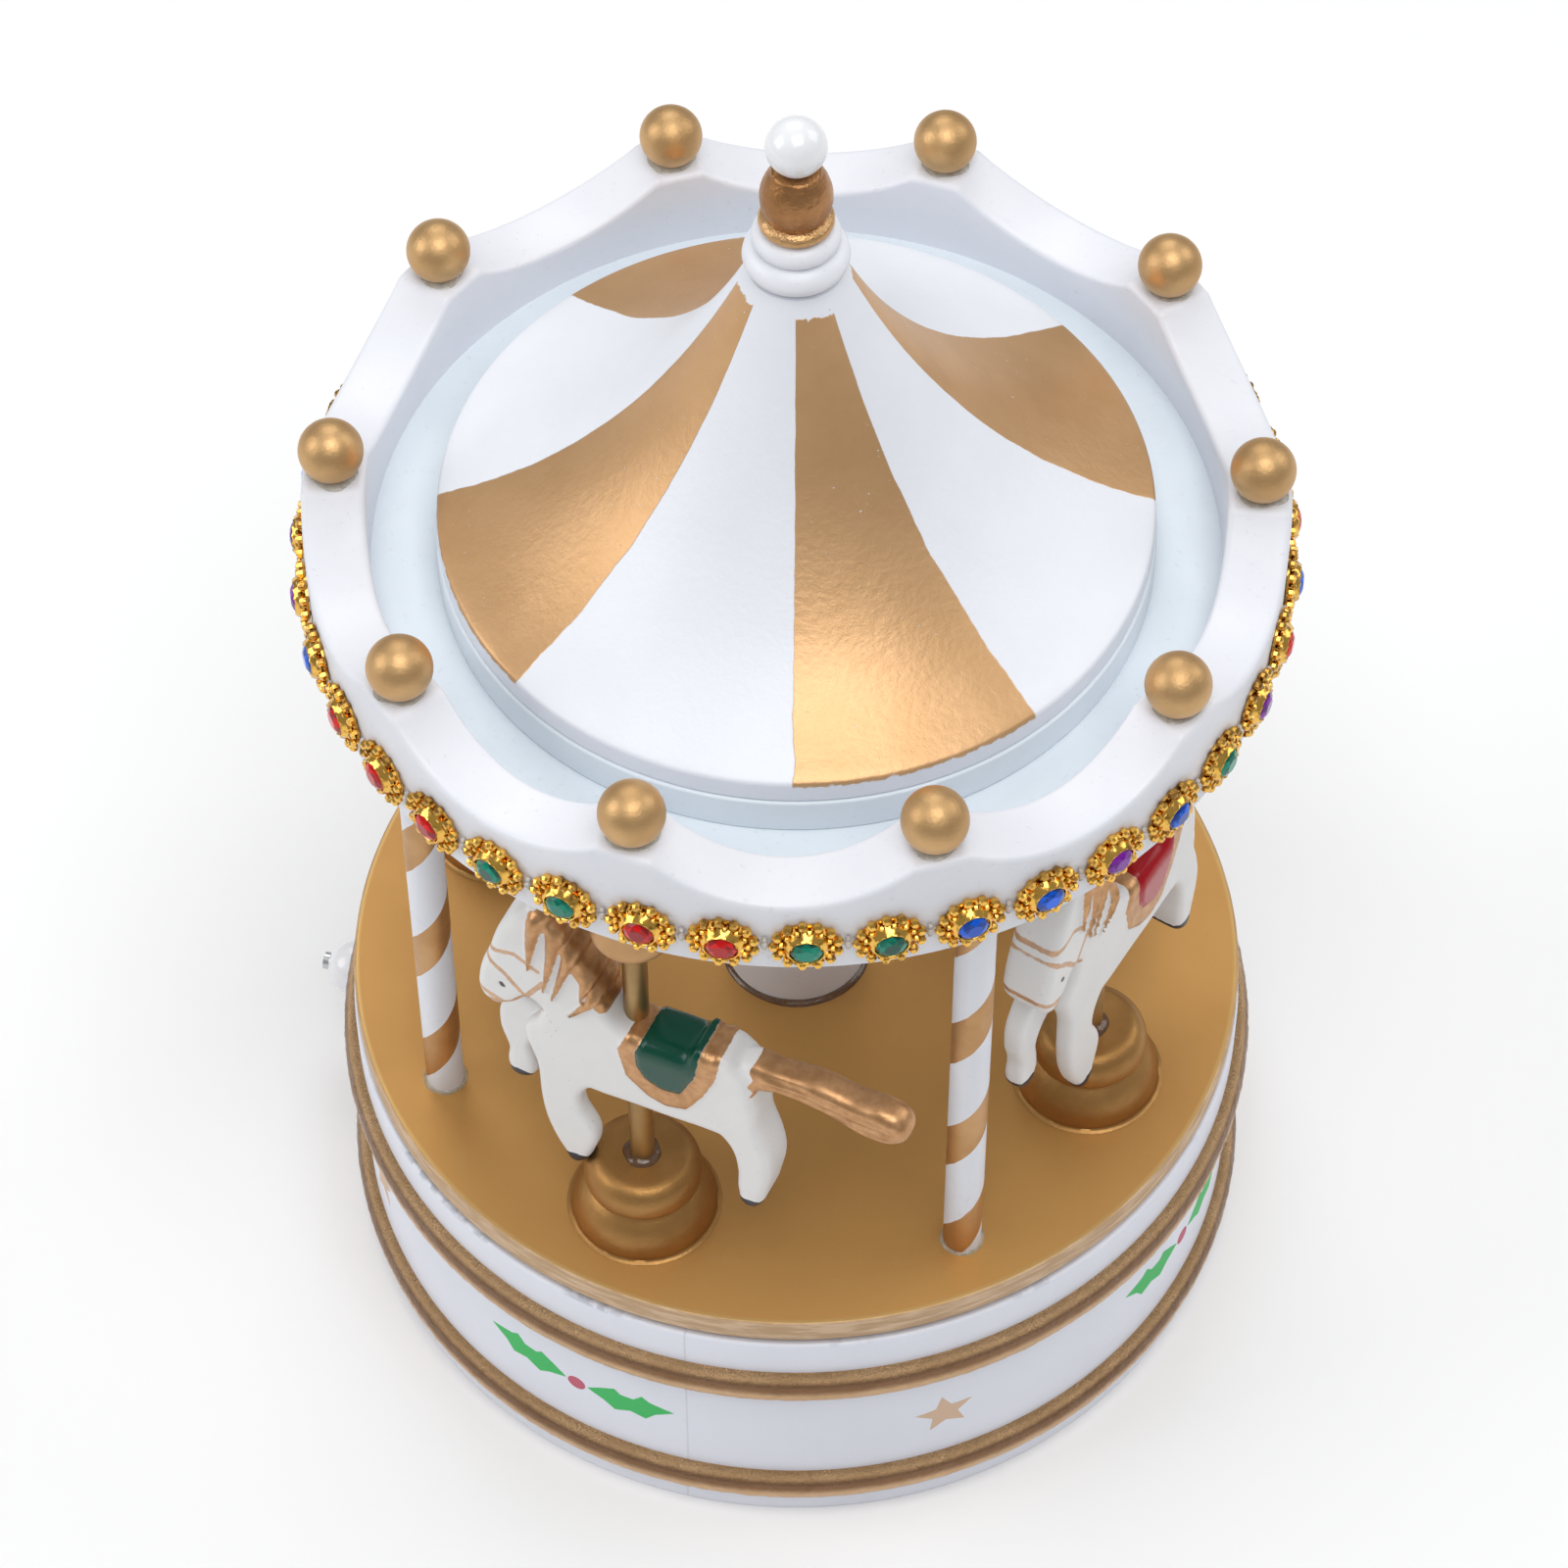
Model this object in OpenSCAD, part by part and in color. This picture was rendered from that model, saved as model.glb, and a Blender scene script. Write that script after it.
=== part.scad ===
// Carousel music box: a turning platform with four horses on a drum that holds a wind-up comb movement.
// Millimetres, +Z up. The origin is on the spin axis, in the plane that the drum stands on.
// The front is -Y. Angles run anticlockwise from +X, seen from above.

/* [Drum] */
// Radius of the drum's wall and of the turning platform
base_r = 60; // [58:0.5:76]
// Height of the drum, from the foot to its top board's upper face
base_h = 41.5; // [41.5:0.5:55]
// Thickness of the drum's wall
wall_t = 9; // [8:0.5:10]
// How far the foot and the drum's skin stand out past the platform's radius
skin_out = 0.3; // [0.1:0.1:1]
// Depth of the hollow under the drum, where the key is
recess_h = 9; // [9:0.5:12]
// Width of the shoulder that the bottom board is screwed to
shoulder_w = 5; // [4.5:0.5:6]
// Thickness of the bottom board
bottom_t = 3; // [2.5:0.5:4]
// Thickness of the top board
top_t = 3.5; // [3:0.5:5]
// Width of the rebate that the top board rests in
rebate_w = 3; // [2:0.5:3.5]
// Height of each half-round bead
bead_h = 5.4; // [5:0.2:9]
// How far each bead stands out
bead_out = 2; // [1:0.2:3]
// Height of the lower bead's centre above the foot
low_bead_z = 6.5; // [5:0.5:8]
// Drop from the top of the drum to the upper bead's centre
high_bead_drop = 9.3; // [6:0.1:12]

/* [Platform] */
// Gap between the drum and the turning platform
platform_gap = 1.1; // [0.6:0.1:2]
// Thickness of the platform
platform_t = 3.9; // [3.5:0.1:6]
// Radius of the centre column
column_r = 9.5; // [7:0.5:12]
// Radius of a striped pillar
pillar_r = 2.5; // [2:0.25:3.5]
// Distance from a pillar's axis to the platform's edge
pillar_in = 8.5; // [6:0.5:12]
// Depth of the sockets that hold the column and the pillars
socket_d = 1.6; // [1:0.1:2]
// Radial gap between a dowel and its socket
socket_gap = 0.05; // [0.02:0.01:0.1]

/* [Horses] */
// Number of horses, pedestals, poles and pillars
bays = 4; // [4]
// Distance from a pole's axis to the platform's edge
pole_in = 14.5; // [12.5:0.5:18]
// Radius of a pole
pole_r = 1.6; // [1.2:0.1:2]
// Radius of a pedestal's foot
pedestal_r = 9.6; // [8:0.2:11]
// Height of a pedestal
pedestal_h = 11.5; // [9:0.5:11.5]
// Radius of the widest part of a pole's upper cup
cup_r = 5.4; // [5:0.2:7]
// Height of a pole's upper cup
cup_h = 19.5; // [18:0.5:26]

/* [Canopy] */
// Height from the platform's top to the canopy's underside
clear_h = 79.8; // [72:0.2:100]
// Thickness of the canopy's board
canopy_t = 5.7; // [4:0.1:8]
// Width of the crown ring's wall
ring_w = 7.8; // [7:0.2:9.4]
// Height of the crown ring at its peaks
ring_h = 17.5; // [14:0.5:22]
// Depth of the scallops between the peaks
scallop_d = 5.2; // [3:0.2:7]
// Radius of a crown ball
ball_r = 4; // [3:0.25:4.5]
// Number of crown balls and peaks
ball_n = 10; // [8:1:12]
// Distance between two flowers of the jewelled trim
flower_pitch = 9.67; // [9.4:0.01:12]
// Radius of a flower's stamped plate
flower_r = 4.6; // [4:0.1:4.6]

/* [Roof] */
// Distance from the roof disc's edge to the crown ring's outer face
roof_in = 16; // [12:0.5:20]
// Thickness of the roof disc
roof_disc_t = 5.2; // [4:0.2:8]
// Height of the upright rim under the tent-shaped roof
roof_rim_h = 3.4; // [2:0.2:5]
// Height of the tent-shaped roof above its rim
roof_h = 41.5; // [34:0.5:50]
// Radius of the roof's narrow end, where the finial stands
neck_r = 5.6; // [4.6:0.1:6]
// How strongly the roof curves from its eaves to its neck
tent_bend = 2.15; // [1.5:0.05:2.8]

/* [Finial] */
// Radius of the finial's large bead
finial_r = 6.3; // [5.8:0.1:7]
// Height of the finial's three beads together
finial_h = 9.1; // [8:0.1:10]
// Radius of the bulb on the beads
bulb_r = 4.24; // [3.8:0.02:4.8]
// Height of the bulb
bulb_h = 7.2; // [6:0.2:8.6]
// Radius of the ball on the bulb
top_ball_r = 3.56; // [3:0.02:4]

/* [Stop knob] */
// Height of the stop rod above the foot
knob_z = 16.5; // [15.5:0.1:17]
// Direction of the stop rod, in degrees
knob_a = 164.6; // [150:0.1:180]
// Radius of the knob's ball
knob_r = 4; // [3:0.25:5]
// Gap between the ball and the drum when it is pushed in
knob_gap = 0.7; // [0.5:0.1:2]

/* [Movement] */
// Radius of the mainspring's barrel
barrel_r = 12.5; // [11.5:0.25:12.5]
// Radius of the pinned cylinder
cyl_r = 6.5; // [6:0.1:6.5]
// Number of notes, one tooth of the comb each
notes = 18; // [12:1:18]
// Distance between two notes along the cylinder
note_pitch = 1; // [1]
// Teeth of the barrel's crown wheel
crown_n = 48; // [48]
// Teeth of the cylinder's pinion
pinion_n = 12; // [12]
// Teeth of the wheel on the cylinder's far end
wheel_n = 40; // [40]
// Teeth of the second arbor's pinion
second_n = 10; // [10]
// Teeth of the wheel that drives the governor's worm
worm_wheel_n = 24; // [24]
// Radial clearance of every shaft in its bearing
run_gap = 0.05; // [0.02:0.01:0.08]

/* [Hidden] */
$fn = 48;
eps = 0.01;

// Heights, from the foot up
skin_r = base_r + skin_out;
inner_r = base_r - wall_t;
rebate_r = inner_r + rebate_w;
foot_r = skin_r + 0.6;
recess_r = inner_r + shoulder_w;
bottom_z = recess_h + bottom_t;
board_gap = 0.15;
high_bead_z = base_h - high_bead_drop;
platform_z = base_h + platform_gap;
deck_z = platform_z + platform_t;
canopy_z = deck_z + clear_h;
tray_z = canopy_z + canopy_t;
peak_z = canopy_z + ring_h;
valley_z = peak_z - scallop_d;
roof_z = tray_z + roof_disc_t;
cone_z = roof_z + roof_rim_h;
neck_z = cone_z + roof_h;
bulb_z = neck_z + finial_h;

// Places on the platform and the canopy
pole_socket_d = 4;
pillar_a = -65.2;
pole_a = -116.5;
bay_step = 360 / bays;
pillar_ring = base_r - pillar_in;
pole_ring = base_r - pole_in;
// The poles and horses are glued in by hand: how far each pole stands off its even place, in degrees round
// the axis and in millimetres inwards, and how far its horse is turned about it, in degrees
pole_turn = [0.6, -1.5, 0, 0];
pole_inset = [0, 1.7, 0, 0];
horse_turn = [0, -5, 0, 30];
cup_z = canopy_z - cup_h;
ring_in = base_r - ring_w;
ball_ring = base_r - ring_w / 2;
ball_a = -1.6;
ball_step = 360 / ball_n;
ball_sink = 0.3;
roof_r = base_r - roof_in;
cone_r = roof_r - 0.3;
tent_rise = roof_h / (exp(tent_bend * (1 - neck_r / cone_r)) - 1);
flower_n = floor(360 / (2 * asin(flower_pitch / 2 / (base_r + 0.5))));
flower_a = -88.9;
flower_z = tray_z;

// Screws
screw_ring = inner_r + shoulder_w / 2;
screw_r = 1.1;
screw_head_r = 2.2;
screw_head_h = 1.2;
screw_l = 10;
screw_pilot_gap = 0.02;

// The movement, in its own frame: the barrel's axis is Z and the cylinder's arbor lies along +X
plate_lift = 1;
plate_z = bottom_z + plate_lift;
plate_t = 2;
plate_top = plate_z + plate_t;
crown_m = 0.6;
crown_z = plate_top + 1;
crown_t = 1.6;
crown_tooth_h = 1.1;
crown_tooth_w = 0.66;
crown_pitch_z = crown_z + crown_t + 0.7;
crown_out = crown_m * crown_n / 2 + 1.8;
crown_in = crown_out - 3;
axle_z = crown_pitch_z + crown_m * pinion_n / 2;
barrel_h = 14;
barrel_wall = 0.9;
barrel_floor = 1.6;
barrel_lid_t = 1.4;
barrel_top = crown_z + barrel_h;
arbor_r = 2;
arbor_hole_gap = 1.5;
spindle_r = 2.5;
bush_wall = 1.5;
hub_r = 8;
hub_t = 1.8;
shaft_r = 0.8;
post_t = 1.4;
pinion_x = crown_in + 0.3;
pinion_l = 2.6;
post_a_x = pinion_x + pinion_l + 0.6;
cyl_x = post_a_x + post_t + 0.6;
cyl_l = notes * note_pitch;
wheel_x = cyl_x + cyl_l + 0.4;
wheel_t = 1.2;
post_b_x = wheel_x + wheel_t + 0.6;
wheel_m = 0.3;
second_y = wheel_m * (wheel_n + second_n) / 2;
second_r = 0.55;
worm_pitch = 1.2;
worm_core_r = 0.9;
worm_throw = 0.3;
pivot_r = 0.5;
worm_wheel_r = worm_wheel_n * worm_pitch / 360 * 180 / PI;
worm_wheel_x = post_b_x + post_t + 2.4;
worm_wheel_t = 1;
post_c_x = worm_wheel_x + worm_wheel_t + 1.2;
worm_x = worm_wheel_x + worm_wheel_t / 2;
worm_y = second_y + worm_wheel_r + worm_core_r;
worm_turns = 2;
fan_r = 3.9;
fan_h = 2;
fan_z = plate_top + 0.5;
bracket_y = worm_y + fan_r + 0.7;
bracket_t = 1.3;
bracket_top = axle_z + worm_turns * worm_pitch + 5;
pin_h = 0.5;
pin_r = 0.18;
pins_per_note = 3;
comb_tip_y = -(cyl_r + pin_h + 0.15);
comb_root_y = comb_tip_y - 8;
comb_back_y = comb_root_y - 9;
comb_t = 0.9;
comb_screw_r = 1;
bracket_screw_r = 0.8;
comb_z = axle_z - comb_t / 2;
movement_a = knob_a - atan2(worm_y, worm_x);
movement_max_r = 50;
movement_screws_xy = [[-11, -13], [-10, 13.5], [27, 12.5]];

// The stop rod
rod_r = 1.25;
rod_in = norm([worm_x, worm_y]) + fan_r + 0.6;
knob_at = skin_r + knob_gap + knob_r;
rod_out = knob_at + knob_r + 0.6;

// The winding key
key_z = 1.6;
key_wing_h = 5;
key_wing_w = 12;
key_wing_t = 1.4;
key_hub_r = 3.4;
key_socket_z = key_z + 3;
arbor_end_gap = 3;

// ---- helpers ----

// A turned shape from [radius, height] points
module turned(points) {
    rotate_extrude($fn = 96) polygon(points);
}

// Puts its children at a radius and an angle, facing outwards with +X
module at_angle(a, r) {
    rotate([0, 0, a]) translate([r, 0, 0]) children();
}

// The children, in the movement's own frame
module in_movement() {
    rotate([0, 0, movement_a]) children();
}

// A rod along +X from x0 to x1
module x_rod(r, x0, x1) {
    translate([x0, 0, 0]) rotate([0, 90, 0]) cylinder(r = r, h = x1 - x0);
}

// Outline of a toothed wheel of straight-sided teeth, with the first tooth on +X
function wheel_points(n, r_root, r_tip, root_part, tip_part) = [
    for (i = [0:n - 1])
        for (c = [[r_root, -root_part], [r_tip, -tip_part], [r_tip, tip_part], [r_root, root_part]])
            let (a = (i + c[1] / 2) * 360 / n) [c[0] * cos(a), c[0] * sin(a)]
];

// A toothed wheel whose axis is +X, with the first tooth on +Y
module x_wheel(n, r_root, r_tip, t, x, bore, turn = 0) {
    translate([x, 0, 0])
        rotate([90, 0, 90])
            linear_extrude(t)
                difference() {
                    rotate(turn) polygon(wheel_points(n, r_root, r_tip, 0.46, 0.22));
                    circle(bore);
                }
}

// A pan-headed screw that points up, with its head's underside at z = 0
module screw_up(r, head_r, l, head_h) {
    translate([0, 0, -head_h]) cylinder(r = head_r, h = head_h);
    cylinder(r = r, h = l);
}

// ---- drum ----

module drum_wall() {
    color("white") difference() {
        turned([
            [recess_r, 0], [foot_r, 0], [foot_r, low_bead_z - bead_h / 2],
            [skin_r, low_bead_z - bead_h / 2], [skin_r, base_h], [rebate_r, base_h],
            [rebate_r, base_h - top_t], [inner_r, base_h - top_t], [inner_r, bottom_z],
            [recess_r, bottom_z]
        ]);
        rotate([0, 0, knob_a]) translate([0, 0, knob_z]) x_rod(rod_r + run_gap, inner_r - 5, skin_r + 5);
        bottom_screw_places() cylinder(r = screw_r + screw_pilot_gap, h = screw_l + 0.5);
    }
}

module bead(z) {
    side = 0.7;
    translate([0, 0, z])
        turned(concat(
            [[skin_r, -bead_h / 2]],
            [for (a = [-90:15:90]) [skin_r + side + (bead_out - side) * cos(a), bead_h / 2 * sin(a)]],
            [[skin_r, bead_h / 2]]
        ));
}

module upper_bead() {
    color("goldenrod") bead(high_bead_z);
}

module lower_bead() {
    color("goldenrod") bead(low_bead_z);
}

module top_board() {
    color("lightgray") translate([0, 0, base_h - top_t]) difference() {
        cylinder(r = rebate_r - socket_gap, h = top_t, $fn = 96);
        translate([0, 0, -1]) cylinder(r = spindle_r + bush_wall, h = top_t + 2);
    }
}

module spindle_bush() {
    flange_t = 0.8;
    color("gold") translate([0, 0, base_h - top_t]) difference() {
        union() {
            cylinder(r = spindle_r + bush_wall, h = top_t);
            translate([0, 0, -flange_t]) cylinder(r = spindle_r + bush_wall + 2, h = flange_t);
        }
        translate([0, 0, -1]) cylinder(r = spindle_r + run_gap, h = top_t + 2);
    }
}

module bottom_screw_places() {
    for (i = [0:3]) at_angle(45 + 90 * i, screw_ring) translate([0, 0, bottom_z]) children();
}

module movement_screw_places() {
    for (p = movement_screws_xy) in_movement() translate([p[0], p[1], recess_h]) children();
}

module bottom_board() {
    color("burlywood") difference() {
        translate([0, 0, recess_h]) cylinder(r = recess_r - board_gap, h = bottom_t, $fn = 96);
        cylinder(r = arbor_r + arbor_hole_gap, h = base_h);
        bottom_screw_places() translate([0, 0, -bottom_t - 1])
            cylinder(r = screw_r + screw_pilot_gap, h = bottom_t + 2);
        movement_screw_places() translate([0, 0, -1])
            cylinder(r = screw_r + screw_pilot_gap, h = bottom_t + 2);
    }
}

module bottom_screws() {
    color("silver") bottom_screw_places() translate([0, 0, -bottom_t])
        screw_up(screw_r, screw_head_r, screw_l + bottom_t, screw_head_h);
}

// ---- movement, fixed pieces ----

module post(x, y0, y1, top) {
    translate([x, y0, plate_top - eps]) cube([post_t, y1 - y0, top - plate_top + eps]);
}

module movement_plate() {
    well = cyl_r + pin_h + 0.4;
    color("silver") in_movement() difference() {
        union() {
            intersection() {
                translate([-17.5, -27, plate_z])
                    cube([post_c_x + post_t + 18.2, 27 + bracket_y + 3.5, plate_t]);
                cylinder(r = movement_max_r - 0.6, h = base_h);
            }
            for (p = movement_screws_xy) translate([p[0], p[1], bottom_z])
                cylinder(r = screw_head_r + 0.8, h = plate_lift + eps);
            post(post_a_x, -3, 3, axle_z + 2.5);
            post(post_b_x, -3, second_y + 2.2, axle_z + 2.5);
            post(post_c_x, second_y - 2.2, second_y + 2.2, axle_z + 2.5);
            translate([cyl_x - 1, comb_back_y, plate_top - eps])
                cube([cyl_l + 2, comb_root_y - comb_back_y, comb_z - plate_top + eps]);
        }
        translate([cyl_x - 0.3, -well, plate_z - 1])
            cube([wheel_x + wheel_t - cyl_x + 0.6, well * 2, plate_t + 3]);
        cylinder(r = arbor_r + run_gap, h = base_h);
        translate([0, 0, axle_z]) x_rod(shaft_r + run_gap, post_a_x - 1, post_b_x + post_t + 1);
        translate([0, second_y, axle_z]) x_rod(second_r + run_gap, post_b_x - 1, post_c_x + post_t + 1);
        translate([worm_x, worm_y, plate_z - 1]) cylinder(r = pivot_r + run_gap, h = plate_t + 2);
        for (p = movement_screws_xy) translate([p[0], p[1], bottom_z - 1])
            cylinder(r = screw_r + screw_pilot_gap, h = plate_t + 3);
        comb_screw_places() cylinder(r = comb_screw_r + screw_pilot_gap, h = 12, center = true);
        bracket_screw_place() cylinder(r = bracket_screw_r + screw_pilot_gap, h = 12, center = true);
    }
}

module movement_screws() {
    color("silver") movement_screw_places()
        screw_up(screw_r, screw_head_r, bottom_t + plate_lift + plate_t, screw_head_h);
}

module comb_screw_places() {
    for (s = [0.22, 0.78])
        translate([cyl_x + cyl_l * s, (comb_root_y + comb_back_y) / 2 - 0.5, comb_z + comb_t]) children();
}

module comb() {
    tooth_w = note_pitch * 0.82;
    color("lightsteelblue") in_movement() difference() {
        union() {
            translate([cyl_x - 0.5, comb_back_y, comb_z]) cube([cyl_l + 1, comb_root_y - comb_back_y, comb_t]);
            for (i = [0:notes - 1])
                translate([cyl_x + (i + 0.5) * note_pitch - tooth_w / 2, comb_root_y - eps, comb_z])
                    cube([tooth_w, comb_tip_y - comb_root_y + eps, comb_t]);
        }
        comb_screw_places() cylinder(r = comb_screw_r + screw_pilot_gap, h = 4, center = true);
    }
}

module comb_screws() {
    color("silver") in_movement() comb_screw_places() {
        cylinder(r = 1.9, h = 1.1);
        translate([0, 0, -4.5]) cylinder(r = comb_screw_r, h = 4.5 + eps);
    }
}

module bracket_screw_place() {
    translate([worm_x - 9.2, bracket_y - 2.4, plate_top + 1.2]) children();
}

module governor_bracket() {
    color("goldenrod") in_movement() {
        difference() {
            union() {
                translate([worm_x - 11.5, bracket_y, plate_top])
                    cube([13.5, bracket_t, bracket_top - plate_top]);
                translate([worm_x - 11.5, bracket_y - 4.6, plate_top]) cube([5, 4.6 + eps, 1.2]);
                translate([worm_x - 2, worm_y - 2, bracket_top - 1.3])
                    cube([4, bracket_y - worm_y + 2 + eps, 1.3]);
            }
            translate([worm_x, worm_y, bracket_top - 3]) cylinder(r = pivot_r + run_gap, h = 4);
            bracket_screw_place() cylinder(r = bracket_screw_r + screw_pilot_gap, h = 6, center = true);
        }
        bracket_screw_place() {
            cylinder(r = 1.5, h = 0.9);
            translate([0, 0, -3]) cylinder(r = bracket_screw_r, h = 3 + eps);
        }
    }
}

// ---- movement, pieces that turn ----

module spring_barrel() {
    color("gold") in_movement() difference() {
        union() {
            translate([0, 0, crown_z]) cylinder(r = barrel_r, h = barrel_h - barrel_lid_t);
            translate([0, 0, crown_z]) cylinder(r = crown_out, h = crown_t);
            for (i = [0:crown_n - 1]) rotate([0, 0, (i + 0.5) * 360 / crown_n])
                translate([crown_in, -crown_tooth_w / 2, crown_z + crown_t - eps])
                    cube([crown_out - crown_in - 0.1, crown_tooth_w, crown_tooth_h + eps]);
        }
        translate([0, 0, crown_z + barrel_floor]) cylinder(r = barrel_r - barrel_wall, h = barrel_h);
        cylinder(r = arbor_r + run_gap, h = base_h);
    }
}

module mainspring() {
    turns = 6;
    strip = 0.35;
    r0 = arbor_r + 1.6;
    r1 = barrel_r - barrel_wall - 0.3 - strip;
    steps = turns * 20;
    function coil(i, w) = let (r = r0 + (r1 - r0) * i / steps + w) [r * cos(18 * i), r * sin(18 * i)];
    color("steelblue") in_movement() translate([0, 0, crown_z + barrel_floor + 0.4])
        linear_extrude(barrel_h - barrel_floor - 2.4)
            polygon(concat([for (i = [0:steps]) coil(i, 0)], [for (i = [steps:-1:0]) coil(i, strip)]));
}

module barrel_spindle() {
    color("gold") {
        translate([0, 0, barrel_top - barrel_lid_t]) cylinder(r = barrel_r, h = barrel_lid_t);
        translate([0, 0, barrel_top - eps]) cylinder(r = spindle_r, h = platform_z + hub_t - barrel_top + eps);
    }
}

module platform_hub() {
    color("gold") translate([0, 0, platform_z]) difference() {
        cylinder(r = hub_r, h = hub_t);
        translate([0, 0, -1]) cylinder(r = spindle_r + 0.02, h = hub_t + 2);
    }
}

module music_cylinder() {
    color("gold") in_movement() translate([0, 0, axle_z]) difference() {
        union() {
            x_rod(cyl_r, cyl_x, cyl_x + cyl_l);
            for (i = [0:notes - 1]) for (j = [0:pins_per_note - 1])
                translate([cyl_x + (i + 0.5) * note_pitch, 0, 0])
                    rotate([137.5 * i + 360 / pins_per_note * j + 9 * (i % 5) * j, 0, 0])
                        cylinder(r = pin_r, h = cyl_r + pin_h, $fn = 16);
        }
        x_rod(shaft_r + eps, cyl_x - 1, cyl_x + cyl_l + 1);
    }
}

module cylinder_arbor() {
    color("silver") in_movement() translate([0, 0, axle_z]) {
        x_rod(shaft_r, pinion_x + eps, post_b_x + post_t + 0.6);
        x_wheel(pinion_n, crown_m * (pinion_n / 2 - 1.1), crown_m * pinion_n / 2 + 0.35, pinion_l,
                pinion_x, eps, 30);
    }
}

module cylinder_wheel() {
    color("gold") in_movement() translate([0, 0, axle_z])
        x_wheel(wheel_n, wheel_m * (wheel_n / 2 - 1.2), wheel_m * wheel_n / 2 + 0.2, wheel_t,
                wheel_x, shaft_r + eps);
}

module second_arbor() {
    color("silver") in_movement() translate([0, second_y, axle_z]) {
        x_rod(second_r, wheel_x + eps, post_c_x + post_t + 0.5);
        x_wheel(second_n, wheel_m * (second_n / 2 - 1.2), wheel_m * second_n / 2 + 0.2, wheel_t + 0.1, wheel_x,
                eps, 180 / second_n);
    }
}

module worm_wheel() {
    color("gold") in_movement() translate([0, second_y, axle_z])
        x_wheel(worm_wheel_n, worm_wheel_r - 0.5, worm_wheel_r + 0.18, worm_wheel_t,
                worm_wheel_x, second_r + eps);
}

module governor_worm() {
    half = worm_turns * worm_pitch;
    color("silver") in_movement() translate([worm_x, worm_y, 0]) {
        translate([0, 0, axle_z - half])
            linear_extrude(half * 2, twist = -360 * 2 * worm_turns, slices = worm_turns * 2 * 8)
                translate([0, worm_throw]) circle(worm_core_r, $fn = 10);
        translate([0, 0, plate_z + 0.2]) cylinder(r = pivot_r, h = axle_z - half - plate_z - 0.2 + eps);
        translate([0, 0, axle_z + half - eps]) cylinder(r = pivot_r, h = bracket_top - axle_z - half + 0.3);
    }
}

module governor_fan() {
    color("gold") in_movement() translate([worm_x, worm_y, fan_z]) difference() {
        union() {
            cylinder(r = 1.2, h = fan_h);
            translate([-fan_r, -0.25, 0]) cube([fan_r * 2, 0.5, fan_h]);
        }
        translate([0, 0, -1]) cylinder(r = pivot_r + eps, h = fan_h + 2);
    }
}

module winding_arbor() {
    color("silver") translate([0, 0, key_socket_z])
        cylinder(r = arbor_r, h = barrel_top - arbor_end_gap - key_socket_z);
}

module winding_key() {
    color("silver") translate([0, 0, key_z]) difference() {
        union() {
            cylinder(r = key_hub_r, h = recess_h - key_z - 0.4);
            for (s = [-1, 1]) intersection() {
                translate([s > 0 ? 0 : -key_wing_w, -key_wing_t / 2, 0])
                    cube([key_wing_w, key_wing_t, key_wing_h]);
                translate([s * (key_wing_w - key_wing_h / 2 - 0.8), 0, key_wing_h / 2]) rotate([90, 0, 0])
                    linear_extrude(key_wing_t, center = true) {
                        circle(key_wing_h / 2);
                        translate([-s * key_wing_w / 2, 0])
                            square([key_wing_w, key_wing_h * 0.7], center = true);
                    }
            }
        }
        translate([0, 0, key_socket_z - key_z - eps]) cylinder(r = arbor_r + eps, h = recess_h);
    }
}

module stop_rod() {
    color("silver") rotate([0, 0, knob_a]) translate([0, 0, knob_z]) x_rod(rod_r, rod_in, rod_out);
}

module stop_knob() {
    color("white") rotate([0, 0, knob_a]) translate([0, 0, knob_z]) difference() {
        translate([knob_at, 0, 0]) sphere(knob_r);
        x_rod(rod_r + eps, knob_at - knob_r - 1, rod_out + 1);
    }
}

// ---- platform ----

module platform() {
    color("goldenrod") difference() {
        translate([0, 0, platform_z]) cylinder(r = base_r, h = platform_t, $fn = 96);
        translate([0, 0, platform_z - 1]) cylinder(r = hub_r + socket_gap, h = hub_t + 1);
        translate([0, 0, deck_z - socket_d]) cylinder(r = column_r + socket_gap, h = socket_d + 1);
        for (i = [0:bays - 1])
            at_angle(pillar_a + i * bay_step, pillar_ring) translate([0, 0, deck_z - socket_d])
                cylinder(r = pillar_r + socket_gap, h = socket_d + 1);
    }
}

module centre_column() {
    color("white") translate([0, 0, deck_z - socket_d])
        cylinder(r = column_r, h = clear_h + socket_d * 2, $fn = 96);
}

module pillar(i) {
    color("white") at_angle(pillar_a + (i - 1) * bay_step, pillar_ring) translate([0, 0, deck_z - socket_d])
        cylinder(r = pillar_r, h = clear_h + socket_d * 2);
}

module at_pole(i) {
    at_angle(pole_a + (i - 1) * bay_step + pole_turn[i - 1], pole_ring - pole_inset[i - 1]) children();
}

module pedestal(i) {
    foot = pedestal_h * 0.16;
    waist = pedestal_h * 0.52;
    color("goldenrod") at_pole(i) translate([0, 0, deck_z]) difference() {
        turned([
            [0, 0], [pedestal_r, 0], [pedestal_r, foot * 0.6], [pedestal_r * 0.96, foot],
            [pedestal_r * 0.89, pedestal_h * 0.34], [pedestal_r * 0.76, waist - 0.5], [pedestal_r * 0.74, waist],
            [pedestal_r * 0.78, waist + 0.5], [pedestal_r * 0.79, pedestal_h * 0.76],
            [pedestal_r * 0.74, pedestal_h * 0.92], [pedestal_r * 0.6, pedestal_h], [0, pedestal_h]
        ]);
        translate([0, 0, pedestal_h - pole_socket_d]) cylinder(r = pole_r + eps, h = pole_socket_d + 1);
    }
}

module pole(i) {
    color("darkgoldenrod") at_pole(i) translate([0, 0, deck_z + pedestal_h - pole_socket_d])
        cylinder(r = pole_r, h = cup_z - deck_z - pedestal_h + pole_socket_d + cup_h * 0.5);
}

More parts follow.
